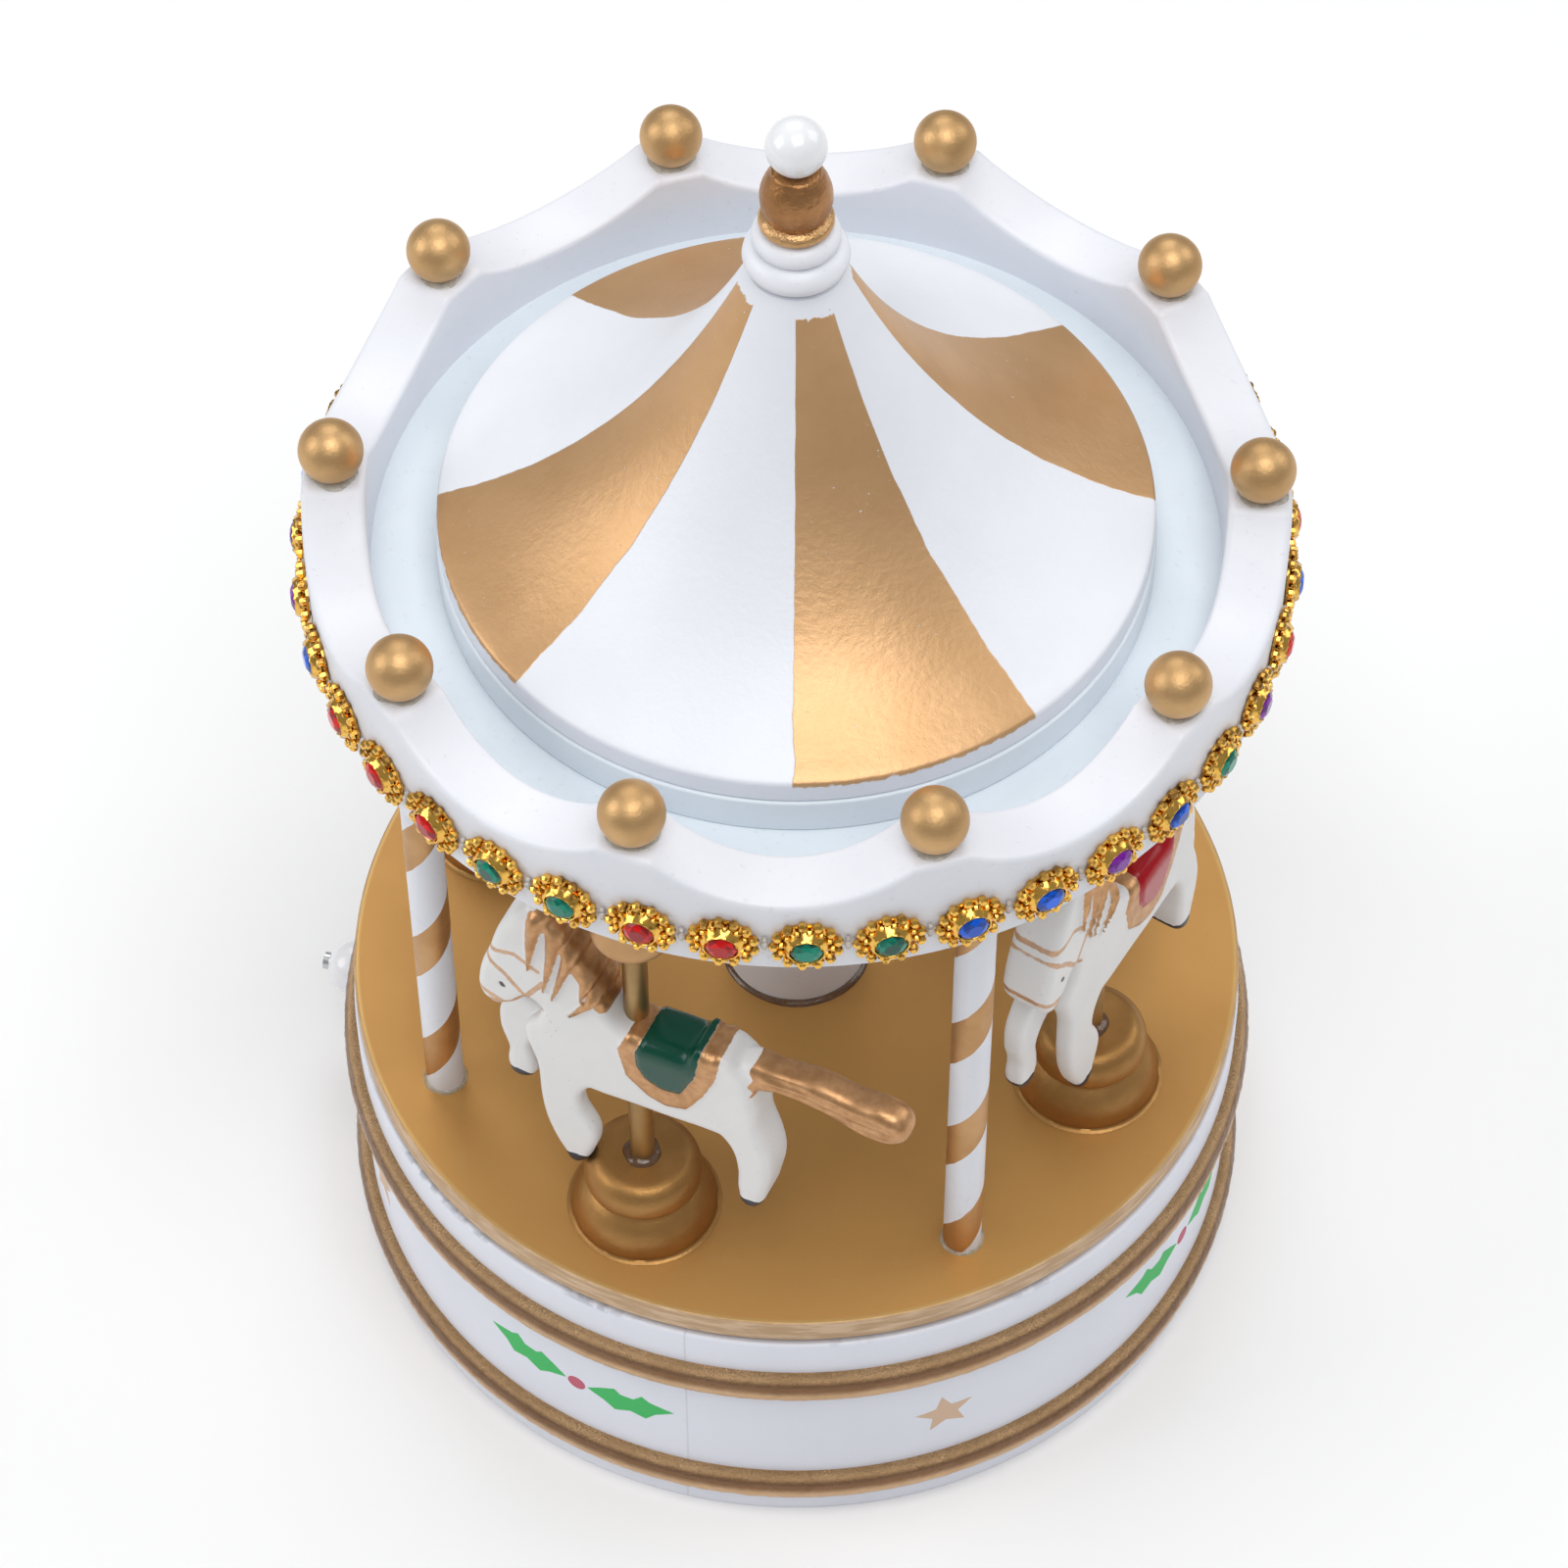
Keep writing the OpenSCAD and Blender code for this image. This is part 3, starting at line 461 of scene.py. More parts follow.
drum_outline = eased([
    (BOTTOM_SEAT_R, 0.0), (FOOT_R, 0.0), (FOOT_R, LOW_BEAD_Z - 2.6), (SKIN_R, LOW_BEAD_Z - 2.2),
    (SKIN_R, DRUM_TOP), (TOP_SEAT_R, DRUM_TOP), (TOP_SEAT_R, TOP_SEAT_Z), (BORE_R, TOP_SEAT_Z),
    (BORE_R, BOTTOM_SEAT_Z), (BOTTOM_SEAT_R, BOTTOM_SEAT_Z)
], 0.5, closed=True)
turned_piece("drum", drum_outline, drum_paint(), "white_paint", "drum_wall",
             turns=256, closed=True, body="base")

# %% [markdown]
# ## The two gold beads
# Each bead is a half-round moulding. Its bronze paint has dried in a crinkle, which catches the light
# along the crown of the moulding, so the crinkle is in the mesh as well as in the bump. A dark band of
# painted reflection runs across the middle, and one material does both beads: it knows where it is from its
# height.

# %% Beads
def crinkle(amount, size):
    def push(r, z, angle):
        x, y = around(r, angle)
        return amount * noise.fractal(Vector((x, y, z)) / size, 1.0, 2.0, 3)
    return push


def bead_gold():
    """Gold bronze on a half-round bead: crinkled and bright on top, with a dark band of painted reflection
    across the middle, paler below.
    """
    paint = Paint("bead_gold", Metallic=0.92)
    height = paint.along()[2]
    cloud = paint.grain(6, 3, seed=1).ramp(0.3, 0.7)
    wrinkles = paint.grain(0.45, 3, 0.65, seed=5)
    # Painted reflection: a dark band across the middle of each bead, placed by height.
    dark_reflection_band, crown = [], []
    for z in (LOW_BEAD_Z, HIGH_BEAD_Z):
        dark_reflection_band.append(height.ramp(z - 0.6, z + 0.9) * (1 - height.ramp(z + 1.7, z + 2.5)))
        crown.append(height.ramp(z + 1.2, z + 2.2) * (1 - height.ramp(z + 3.5, z + 4.0)))
    dark = (dark_reflection_band[0] + dark_reflection_band[1]) * 0.85
    top = crown[0] + crown[1]
    colour = paint.mix(cloud * 0.5, (0.66, 0.42, 0.22), (0.50, 0.30, 0.14))
    # The dark band of painted reflection goes into the colour here.
    colour = paint.mix(dark, colour, (0.17, 0.08, 0.038))
    relief = paint.bump(wrinkles * (top * 2.0 + 0.5), 0.35)
    return paint.wear(Base_Color=colour, Roughness=0.26 + cloud * 0.08, Normal=relief)


BEAD_GOLD = bead_gold()


BEAD_OUT = 1.45
BEAD_SUNK = 0.4


def bead(name, z, node):
    steps = 18
    turns = [math.pi * (k / steps - 0.5) for k in range(steps + 1)]
    arc = [(SKIN_R + 0.5 + BEAD_OUT * math.cos(a), z + BEAD_H / 2 * math.sin(a)) for a in turns]
    outline = [(SKIN_R - BEAD_SUNK, z - BEAD_H / 2)] + arc + [(SKIN_R - BEAD_SUNK, z + BEAD_H / 2)]
    turned_piece(name, outline, BEAD_GOLD, "gold_paint", node,
                 turns=720, closed=True, body="base", wobble=crinkle(0.09, 1.0))


bead("upper_moulding", HIGH_BEAD_Z, "upper_bead")
bead("lower_moulding", LOW_BEAD_Z, "lower_bead")

# %% [markdown]
# ## Holly and stars
# The motifs are stencilled, so each is a flat shape with crisp edges. They are thin skins of paint laid
# on the drum: a fan of rings from the middle of the shape, wrapped round the wall. Leaves come in pairs
# about a berry, and a star stands between two sprigs.

# %% Stencilled motifs
def flat_paint(name, base, worn):
    paint = Paint(name, Specular_IOR_Level=0.4)
    thin = paint.grain(0.7, 3, 0.7, seed=4).ramp(0.55, 0.72)
    colour = paint.mix(thin * 0.4, base, worn)
    return paint.wear(Base_Color=colour, Roughness=0.5 + thin * 0.1, Normal=paint.bump(thin, 0.01))


LEAF_GREEN = flat_paint("leaf_green", (0.03, 0.50, 0.11), (0.10, 0.58, 0.20))
BERRY_RED = flat_paint("berry_red", (0.55, 0.10, 0.16), (0.62, 0.2, 0.25))
STAR_TAN = flat_paint("star_tan", (0.68, 0.47, 0.32), (0.76, 0.60, 0.46))

LEAF = [(0, 0), (2.1, 1.4), (4.2, 2.5), (4.8, 1.5), (6.9, 1.4), (8.2, 2.8), (9.2, 1.8), (12.6, 0.6),
        (9.9, -0.9), (8.5, -2.6), (6.3, -1.8), (4.0, -2.8), (2.5, -1.4)]
BERRY_R = 1.35
STAR_R = 4.2
DECAL_UP = 0.035
DECAL_UNDER = -0.05


def on_drum(angle, along, z, up):
    return (*around(SKIN_R + up, angle + along / SKIN_R), z)


def skin(outline, angle, z, rings=5):
    """A thin patch of paint with this outline, wrapped on the drum."""
    middle = (sum(p[0] for p in outline) / len(outline), sum(p[1] for p in outline) / len(outline))
    points = [on_drum(angle, middle[0], z + middle[1], DECAL_UP)]
    fine = []
    for i, p in enumerate(outline):
        q = outline[(i + 1) % len(outline)]
        fine += [(p[0] + (q[0] - p[0]) * k / 3, p[1] + (q[1] - p[1]) * k / 3) for k in range(3)]
    for ring in range(1, rings + 1):
        for p in fine:
            s = middle[0] + (p[0] - middle[0]) * ring / rings
            t = middle[1] + (p[1] - middle[1]) * ring / rings
            points.append(on_drum(angle, s, z + t, DECAL_UP))
    points += [on_drum(angle, p[0], z + p[1], DECAL_UNDER) for p in fine]
    count = len(fine)
    faces = [(0, 1 + k, 1 + (k + 1) % count) for k in range(count)]
    faces += [[1 + i for i in face] for face in wall(rings + 1, count)]
    last = 1 + rings * count
    faces.append([last + k for k in range(count)])
    return points, faces


def turned(outline, degrees, flip=1):
    c, s = math.cos(math.radians(degrees)), math.sin(math.radians(degrees))
    return [(flip * p[0] * c - p[1] * s, flip * p[0] * s + p[1] * c) for p in outline]


def join(parts):
    points, faces = [], []
    for some_points, some_faces in parts:
        shift = len(points)
        points += some_points
        faces += [[shift + i for i in face] for face in some_faces]
    return points, faces


MOTIF_Z = 19.4
HOLLY_ANGLE = math.radians(-119.2)
STAR_ANGLE = math.radians(-70.8)
STAR_WAIST = 0.45
circle = [around(BERRY_R, TAU * k / 20) for k in range(20)]
star = [around(STAR_R * (STAR_WAIST if k % 2 else 1), math.pi / 2 + TAU * k / 10) for k in range(10)]
leaves, berries, stars = [], [], []
for i in range(BAYS):
    at = HOLLY_ANGLE + i * TAU / BAYS
    right = [(s + BERRY_R + 0.3, t) for s, t in LEAF]
    leaves.append(skin(turned(right, 2), at, MOTIF_Z))
    leaves.append(skin(turned(right, -7, flip=-1), at, MOTIF_Z))
    berries.append(skin(circle, at, MOTIF_Z))
    stars.append(skin(turned(star, 7), STAR_ANGLE + i * TAU / BAYS, MOTIF_Z - 0.4))
for name, skins, paint in (("holly_leaves", leaves, LEAF_GREEN), ("holly_berries", berries, BERRY_RED),
                           ("stars", stars, STAR_TAN)):
    place_piece(to_object(name, *join(skins), [paint]), "base", paint.name)

# %% [markdown]
# ## The platform
# A plywood disc, sprayed antique gold on top. Its edge is bare of gold, and its grain runs round it in
# pale streaks. One material does both: it looks at the distance from the axis to know where it is.

# %% Platform
def deck_paint():
    paint = Paint("deck_paint")
    x, y, z = paint.along()
    out = (x * x + y * y).maths("SQRT")
    cloud = paint.grain(30, 4, 0.5).ramp(0.3, 0.7)
    fine = paint.grain(0.35, 2, seed=8)
    scuffs = paint.grain(9, 6, 0.75, seed=11).ramp(0.66, 0.74)
    gold = paint.mix(cloud * 0.5, (0.56, 0.30, 0.088), (0.49, 0.255, 0.074))
    gold = paint.mix(scuffs * 0.25, gold, (0.36, 0.19, 0.06))
    way = paint.node("ShaderNodeCombineXYZ", {0: paint.turn_of(x, y) * 9, 1: z * 1.1, 2: 0.0})
    streaks = paint.noise(way, 5.0, 0.6)
    wood = paint.mix(streaks.ramp(0.42, 0.62), (0.50, 0.32, 0.175), (0.66, 0.47, 0.30))
    side = (out + fine * 0.25).ramp(BASE_R - 0.15, BASE_R - 0.02)
    rim = out.ramp(BASE_R - 0.9, BASE_R - 0.4) * (1 - side)
    colour = paint.mix(side, paint.mix(rim * 0.5, gold, (0.60, 0.42, 0.17)), wood)
    relief = paint.bump(fine, 0.012)
    relief = paint.bump(paint.grain(1.3, 3, seed=6), 0.02, relief)
    return paint.wear(Base_Color=colour, Metallic=0.55 * (1 - side), Normal=relief,
                      Roughness=0.42 + cloud * 0.08 + side * 0.15 - rim * 0.1)


platform_outline = eased([(0, DECK_UNDER), (BASE_R, DECK_UNDER), (BASE_R, DECK_Z), (0, DECK_Z)], 0.35)
platform_steps = [(r, DECK_Z) for r in (50, 40, 30, 20, 10)]
platform_outline = platform_outline[:-1] + platform_steps + [(0, DECK_Z)]
turned_piece("deck", platform_outline, deck_paint(), "deck_gold", "platform", turns=256)

# %% [markdown]
# ## Centre column and striped pillars
# The column is a plain white dowel. On each pillar a gold ribbon climbs like the thread of a right-handed
# screw. The pillar's mesh is twisted with the ribbon, so the ribbon's edges are real edges of the mesh,
# and each of its faces is either white or gold.

# %% Column and pillars
COLUMN_R = 9.5
PILLAR_R = 2.5
PILLAR_RING = 51.5
PILLAR_ANGLE = math.radians(-65.2)
STRIPE_PITCH = 23.0
STRIPE_SHARE = 0.39
STRIPE_START = math.radians(118)

column_outline = [(0, DECK_Z - 1), (COLUMN_R, DECK_Z - 1), (COLUMN_R, CANOPY_Z + 1), (0, CANOPY_Z + 1)]
turned_piece("column", column_outline, WHITE_PAINT, "white_paint", "centre_column", turns=128)


def pillar(number):
    sides, rows = 72, 160
    gold_sides = round(sides * STRIPE_SHARE)
    bay = (number - 1) * TAU / BAYS
    middle = around(PILLAR_RING, PILLAR_ANGLE + bay)
    low, high = DECK_Z - 0.5, CANOPY_Z + 0.5
    points = []
    for row in range(rows + 1):
        z = low + (high - low) * row / rows
        for k in range(sides):
            angle = TAU * k / sides + TAU * (z - low) / STRIPE_PITCH + STRIPE_START + bay
            edge = k in (0, gold_sides)
            ragged = 0.05 * noise.noise(Vector((z * 0.9, number * 7.0, k))) if edge else 0
            x, y = around(PILLAR_R + (0.02 if k < gold_sides else 0), angle + ragged)
            points.append((middle[0] + x, middle[1] + y, z))
    ends = [[row * sides + k for k in range(sides)] for row in (0, rows)]
    faces = wall(rows + 1, sides) + ends
    indices = [int(k < gold_sides) for k in range(sides)] * rows + [0, 0]
    made = to_object(f"striped_pillar_{number}", points, faces, [WHITE_PAINT, GOLD_PAINT], 40, indices)
    place_piece(made, "carousel", "white_paint", f"pillar_{number}")


for number in range(1, BAYS + 1):
    pillar(number)

# %% [markdown]
# ## Pedestals, poles and cups
# Each pole stands in a bell-shaped wooden pedestal and ends in an upside-down cup under the canopy. They
# are turned, so their outlines say everything: a flared skirt, a groove, a round shoulder and a flat top.

# %% Pedestals, poles and cups
POLE_RING = 45.5
POLE_ANGLE = math.radians(-116.5)
POLE_TURN = (0.6, -1.5, 0, 0)
POLE_INSET = (0, 1.7, 0, 0)
POLE_R = 1.6
PEDESTAL_H = 11.5
CUP_H = 19.5
pedestal_outline = [
    (0, 0), (9.45, 0), (9.6, 0.35), (9.5, 1.2), (9.25, 2.4), (8.8, 3.6), (8.1, 4.8), (7.4, 5.6),
    (7.05, 5.95), (7.05, 6.3), (7.4, 6.7), (7.65, 7.3), (7.7, 8.1), (7.55, 9.1), (7.2, 10.0), (6.7, 10.7),
    (6.1, 11.2), (5.4, 11.45), (4.6, 11.5), (2.8, 11.5), (0, 11.5)
]
cup_outline = [
    (0, 0), (3.6, 0), (4.7, 0.35), (5.2, 1.0), (5.4, 1.9), (5.25, 2.9), (4.8, 4.4), (4.3, 6.6), (3.95, 9.0),
    (3.85, 11.6), (4.0, 13.8), (4.5, 15.0), (4.35, 15.5), (5.1, 16.3), (5.4, 17.6), (5.4, 19.5), (0, 19.5)
]


def pole_place(number):
    """Angle and distance from the axis of a pole: they are glued in by hand, so two stand a little off."""
    angle = POLE_ANGLE + (number - 1) * TAU / BAYS + math.radians(POLE_TURN[number - 1])
    return angle, POLE_RING - POLE_INSET[number - 1]


def curved(outline, steps=3):
    """The outline as a smooth curve through its points."""
    out = []
    last = len(outline) - 1
    for i in range(last):
        p0, p1 = Vector(outline[max(i - 1, 0)]), Vector(outline[i])
        p2, p3 = Vector(outline[i + 1]), Vector(outline[min(i + 2, last)])
        for k in range(steps):
            t = k / steps
            q = 0.5 * (2 * p1 + (p2 - p0) * t + (2 * p0 - 5 * p1 + 4 * p2 - p3) * t * t
                       + (3 * p1 - p0 - 3 * p2 + p3) * t ** 3)
            out.append((max(q.x, 0.0), q.y))
    return out + [outline[-1]]


for number in range(1, BAYS + 1):
    pole_angle, pole_ring = pole_place(number)
    centre = around(pole_ring, pole_angle)
    turned_piece(f"bell_{number}", curved(pedestal_outline), PEDESTAL_GOLD, "gold_paint",
                 f"pedestal_{number}", foot=DECK_Z, turns=96, centre=centre,
                 wobble=crinkle(0.03, 1.1), smooth=60)
    turned_piece(f"cup_{number}", curved(cup_outline), GOLD_PAINT, "gold_paint",
                 f"pole_cup_{number}", foot=CANOPY_Z - CUP_H, turns=96, centre=centre, smooth=60)
    stem = [(0, DECK_Z + PEDESTAL_H - 1), (POLE_R, DECK_Z + PEDESTAL_H - 1),
            (POLE_R, CANOPY_Z - CUP_H + 1), (0, CANOPY_Z - CUP_H + 1)]
    turned_piece(f"rod_{number}", stem, POLE_GOLD, "pole_brass", f"pole_{number}",
                 turns=48, centre=centre)

# %% [markdown]
# ## The canopy
# The canopy's board carries a crown ring with ten peaks and ten scallops. The ring's top follows a rule:
# flat for a short way at each peak and a smooth hollow between. So the ring is a lathe shape whose upper
# edge rises and falls with the angle, and all its long edges are rounded.

# %% Canopy
BALL_N = 10
BALL_ANGLE = math.radians(-1.6)
BALL_RING = 56.2
BALL_R = 4.0
SCALLOP = 5.2
RING_IN = 52.2
PEAK_HALF = math.radians(3.4)


def crown_height(angle):
    """Height of the ring's top at an angle: flat at the peaks and hollow between them."""
    step = TAU / BALL_N
    off = abs((angle - BALL_ANGLE + step / 2) % step - step / 2)
    if off < PEAK_HALF:
        return PEAK_Z
    t = (off - PEAK_HALF) / (step / 2 - PEAK_HALF)
    return PEAK_Z - SCALLOP * (1 - (1 - t) ** 2) ** 0.92


def crown():
    turns = 720
    points = []
    for k in range(turns):
        angle = TAU * k / turns
        top = crown_height(angle)
        section = [(RING_IN, CANOPY_Z), (BASE_R, CANOPY_Z), (BASE_R, top), (RING_IN, top)]
        points += [(*around(r, angle), z) for r, z in eased(section, 0.9, closed=True)]
    return to_object("crown", points, wall(turns, len(points) // turns, ring=True), [WHITE_PAINT], 50)


place_piece(crown(), "carousel", "white_paint", "crown_ring")
TRAY_R = RING_IN + 0.2
tray_outline = [(0, CANOPY_Z + 0.2), (TRAY_R, CANOPY_Z + 0.2), (TRAY_R, TRAY_Z), (0, TRAY_Z)]
turned_piece("canopy_tray", tray_outline, TRAY_WHITE, "white_paint", "canopy_board")

# %% [markdown]
# ## The tent roof
# The roof is a thin disc with a tent-shaped cone on it. Four broad gold panels are painted on white; each
# runs from the finial to the eaves and wraps a little over the rim. The panels are a mask made from the
# angle round the axis, with a slightly unsteady edge as a brush leaves it, and white specks in the gold.

# %% Roof
ROOF_R = 44.0
CONE_R = 43.7
NECK_R = 5.6
RIM_Z = ROOF_Z + 3.4
TENT_BEND = 2.15
GOLD_FROM = math.radians(-90.7)
GOLD_WIDE = 41.3 / 90


def tent(r):
    rise = (NECK_Z - RIM_Z) / (math.exp(TENT_BEND * (1 - NECK_R / CONE_R)) - 1)
    return RIM_Z + rise * (math.exp(TENT_BEND * (1 - r / CONE_R)) - 1)


def roof_paint():
    paint = Paint("roof_paint")
    x, y, z = paint.along()
    shake = paint.grain(7, 3, 0.6, seed=9) - 0.5
    turn = (paint.turn_of(x, y) - GOLD_FROM + 4 * TAU) / (TAU / BAYS) + shake * 0.022
    part = turn.maths("FRACT")
    panel_mask = part.ramp(0.0, 0.004) * (1 - part.ramp(GOLD_WIDE - 0.004, GOLD_WIDE))
    over = (z + paint.grain(1.2, 3, seed=12) * 1.5 - 0.75).ramp(RIM_Z - 0.65, RIM_Z - 0.35)
    top = 1 - (z + paint.grain(1.5, 2, seed=13) * 3).ramp(NECK_Z - 1.0, NECK_Z - 0.8)
    specks = paint.grain(0.55, 2, 0.5, seed=14).ramp(0.735, 0.75)
    specks = specks * paint.grain(11, 2, seed=15).ramp(0.45, 0.6)
    gold = panel_mask * over * top * (1 - specks)
    cloud = paint.grain(9, 4, seed=1).ramp(0.3, 0.7)
    flakes = paint.grain(0.18, 1, seed=2)
    white = paint.mix(cloud * 0.3, (0.80, 0.82, 0.875), (0.73, 0.755, 0.80))
    metal = paint.mix(cloud * 0.5, (0.66, 0.40, 0.20), (0.55, 0.32, 0.145))
    peel = paint.grain(1.1, 3, 0.6, seed=5)
    relief = paint.bump(gold, 0.05)
    relief = paint.bump(peel, 0.06, relief)
    relief = paint.bump(flakes * gold, 0.008, relief)
    return paint.wear(Base_Color=paint.mix(gold, white, metal), Metallic=gold * 0.68,
                      Roughness=0.42 + gold * (flakes * 0.1 - 0.04), Normal=relief)


TENT_STEPS = 40
EAVES_R = CONE_R - 1.2
tent_radii = [EAVES_R + (NECK_R - EAVES_R) * k / TENT_STEPS for k in range(1, TENT_STEPS)]
cone_outline = eased([(0, ROOF_Z), (CONE_R, ROOF_Z), (CONE_R, RIM_Z - 0.1), (EAVES_R, tent(EAVES_R))], 0.5)
cone_outline += [(r, tent(r)) for r in tent_radii] + [(NECK_R, NECK_Z), (0, NECK_Z)]
turned_piece("tent_roof", cone_outline, roof_paint(), "white_paint", "roof_cone",
             turns=256, smooth=35)
plate_outline = eased([(0, TRAY_Z), (ROOF_R, TRAY_Z), (ROOF_R, ROOF_Z), (0, ROOF_Z)], 0.4)
turned_piece("roof_plate", plate_outline, TRAY_WHITE, "white_paint", "roof_disc", turns=256)

# %% [markdown]
# ## The finial
# A turned finial crowns the roof: a large and a small white bead, a gold collar, a gold bulb and a glossy
# white ball. The bulb is broad below and narrows to the ball, like an acorn standing on its cup.

# %% Finial
def gloss_white():
    paint = Paint("gloss_white", Coat_Weight=0.6, Coat_Roughness=0.08, Specular_IOR_Level=0.5)
    cloud = paint.grain(3, 3).ramp(0.3, 0.7)
    colour = paint.mix(cloud * 0.25, (0.83, 0.83, 0.85), (0.76, 0.76, 0.79))
    relief = paint.bump(paint.grain(0.8, 2), 0.01)
    return paint.wear(Base_Color=colour, Roughness=0.22 + cloud * 0.06, Normal=relief)


GLOSS_WHITE = gloss_white()


def ring_bead(z, r, h, neck, steps=10):
    turns = [math.radians(-84 + 168 * k / steps) for k in range(steps + 1)]
    return [(neck + (r - neck) * math.cos(a), z + h / 2 * math.sin(a)) for a in turns]


finial_white = [(0, 0), (5.2, 0)] + ring_bead(2.1, 6.3, 4.2, 3.6) + ring_bead(5.3, 5.2, 3.2, 3.2) + [(0, 7.0)]
finial_gold = [(0, 6.4), (3.3, 6.5)] + ring_bead(7.9, 4.45, 2.2, 2.8) + [(0, 9.0)]
turned_piece("finial_beads", finial_white, WHITE_PAINT, "white_paint", "finial", foot=NECK_Z, turns=96)
turned_piece("finial_collar", finial_gold, COLLAR_GOLD, "gold_paint",
             foot=NECK_Z, turns=96, wobble=crinkle(0.05, 0.9))
bulb_outline = [(0, -0.4), (3.1, -0.4), (3.7, 0.3), (4.1, 1.2), (4.24, 2.2), (4.2, 3.2), (3.95, 4.3),
                (3.5, 5.4), (3.0, 6.2), (2.5, 6.8), (0, 7.0)]
turned_piece("finial_acorn", curved(bulb_outline), ACORN_GOLD, "gold_paint", "finial_bulb",
             foot=bottom_of("finial_bulb"), turns=96, wobble=crinkle(0.04, 0.9), smooth=60)


def ball_outline(r, z, steps=28):
    turns = [math.pi * k / steps for k in range(steps + 1)]
    return [(r * math.sin(a), z - r * math.cos(a)) for a in turns]


TOP_BALL_R = 3.56
top_ball_outline = ball_outline(TOP_BALL_R, top_of("finial_ball") - TOP_BALL_R)
turned_piece("top_ball", top_ball_outline, GLOSS_WHITE, "gloss_white", "finial_ball", turns=64)

# %% [markdown]
# ## Setting pieces in a ring
# The crown balls, the jewelled flowers and the links of the trim repeat round the canopy. One Geometry
# Nodes tree sets a piece on every seat of a ring: it makes the ring of seats, turns each piece to face
# away from the axis, and ends in real mesh. Its sizes are named inputs.

# %% The ring tree
def ring_tree():
    tree = bpy.data.node_groups.new("set_in_a_ring", "GeometryNodeTree")
    face = tree.interface
    face.new_socket("Geometry", in_out="OUTPUT", socket_type="NodeSocketGeometry")
    kinds = {"Piece": "Object", "Finish": "Material", "Seats": "Int", "Ring radius": "Float",
             "Ring height": "Float", "First angle": "Float", "Nod": "Float"}
    for name, kind in kinds.items():
        face.new_socket(name, in_out="INPUT", socket_type="NodeSocket" + kind)
    given = tree.nodes.new("NodeGroupInput").outputs

    def add(kind, inputs=None, **settings):
        return add_node(tree, kind, inputs, **settings).outputs

    ring = add("GeometryNodeMeshCircle", {"Vertices": given["Seats"], "Radius": given["Ring radius"]})[0]
    lift = add("ShaderNodeCombineXYZ", {"Z": given["Ring height"]})[0]
    spin = add("ShaderNodeCombineXYZ", {"Z": given["First angle"]})[0]
    seats = add("GeometryNodeTransform", {"Geometry": ring, "Translation": lift, "Rotation": spin})[0]
    where = add("ShaderNodeSeparateXYZ", {0: add("GeometryNodeInputPosition")[0]})
    facing = add("ShaderNodeMath", {0: where[1], 1: where[0]}, operation="ARCTAN2")[0]
    turn = add("ShaderNodeCombineXYZ", {"Y": given["Nod"], "Z": facing})[0]
    piece = add("GeometryNodeObjectInfo", {"Object": given["Piece"]})["Geometry"]
    placed = add("GeometryNodeInstanceOnPoints", {"Points": seats, "Instance": piece, "Rotation": turn})[0]
    real = add("GeometryNodeRealizeInstances", {0: placed})[0]
    painted = add("GeometryNodeSetMaterial", {"Geometry": real, "Material": given["Finish"]})[0]
    tree.links.new(painted, tree.nodes.new("NodeGroupOutput").inputs[0])
    return tree


RING_TREE = ring_tree()


def finished_mesh(holder):
    """The mesh of an object after its modifiers."""
    bpy.context.view_layer.update()
    return bpy.data.meshes.new_from_object(holder.evaluated_get(bpy.context.evaluated_depsgraph_get()))


def set_in_ring(name, piece, finish, seats, radius, height, first, nod=0.0):
    """Runs the ring tree, and returns its result as a plain mesh object."""
    holder = add_object(name, bpy.data.meshes.new(name))
    rule = holder.modifiers.new("ring", "NODES")
    rule.node_group = RING_TREE
    sockets = {s.name: s.identifier for s in RING_TREE.interface.items_tree if s.in_out == "INPUT"}
    for key, value in {"Piece": piece, "Finish": finish, "Seats": seats, "Ring radius": radius * MM,
                       "Ring height": height * MM, "First angle": first, "Nod": nod}.items():
        rule[sockets[key]] = value
    mesh = finished_mesh(holder)
    holder.modifiers.remove(rule)
    holder.data = mesh
    return holder


def put_away(piece):
    """A pattern piece is only for copying, so it is taken out again."""
    bpy.data.objects.remove(piece, do_unlink=True)


# %% [markdown]
# ## Crown balls
# Ten wooden balls in pale gold are glued on the ten peaks. One turned ball is the pattern for all ten.

# %% Crown balls
pattern_ball = lathe("pattern_ball", ball_outline(BALL_R, 0, 24), BALL_GOLD, 48)
crown_balls = set_in_ring("crown_spheres", pattern_ball, BALL_GOLD, BALL_N, BALL_RING,
                          PEAK_Z + BALL_R - 0.3, BALL_ANGLE)
place_piece(crown_balls, "carousel", "gold_paint", "crown_balls")
put_away(pattern_ball)

# %% [markdown]
# ## The jewelled trim
# The trim is a plated strip of little flowers, each with a ring of bright beads, a ribbed cone and a
# faceted stone. The flower is built once, facing +X, and the ring tree sets it 39 times. The stones come
# in four colours in no regular order, so their order is a plain list of words.

# %% Flower and trim
def trim_gold():
    paint = Paint("trim_gold", Metallic=1.0)
    height = paint.along()[2]
    darkening = paint.grain(1.2, 3, 0.6, seed=21).ramp(0.5, 0.75)
    # Random tarnish, and the flowers' upper rows made darker by height.
    above = height.ramp(TRAY_Z + 2.0, TRAY_Z + 4.2) * 0.6 * paint.grain(4, 1, seed=22).ramp(0.35, 0.55)
    darkening = (darkening + above).ramp(0, 1)
    colour = paint.mix(darkening * 0.85, (0.86, 0.50, 0.10), (0.20, 0.09, 0.025))
    relief = paint.bump(paint.grain(0.5, 2), 0.015)
    return paint.wear(Base_Color=colour, Roughness=0.14 + darkening * 0.16, Normal=relief)


TRIM_GOLD = trim_gold()
FLOWER_N = 39
FLOWER_ANGLE = math.radians(-88.9)
FLOWER_BEADS = 13
GEM_R = 1.95


def facing_x(points):
    """Turns points made about Z to be about X."""
    return [(p[2], p[0], p[1]) for p in points]


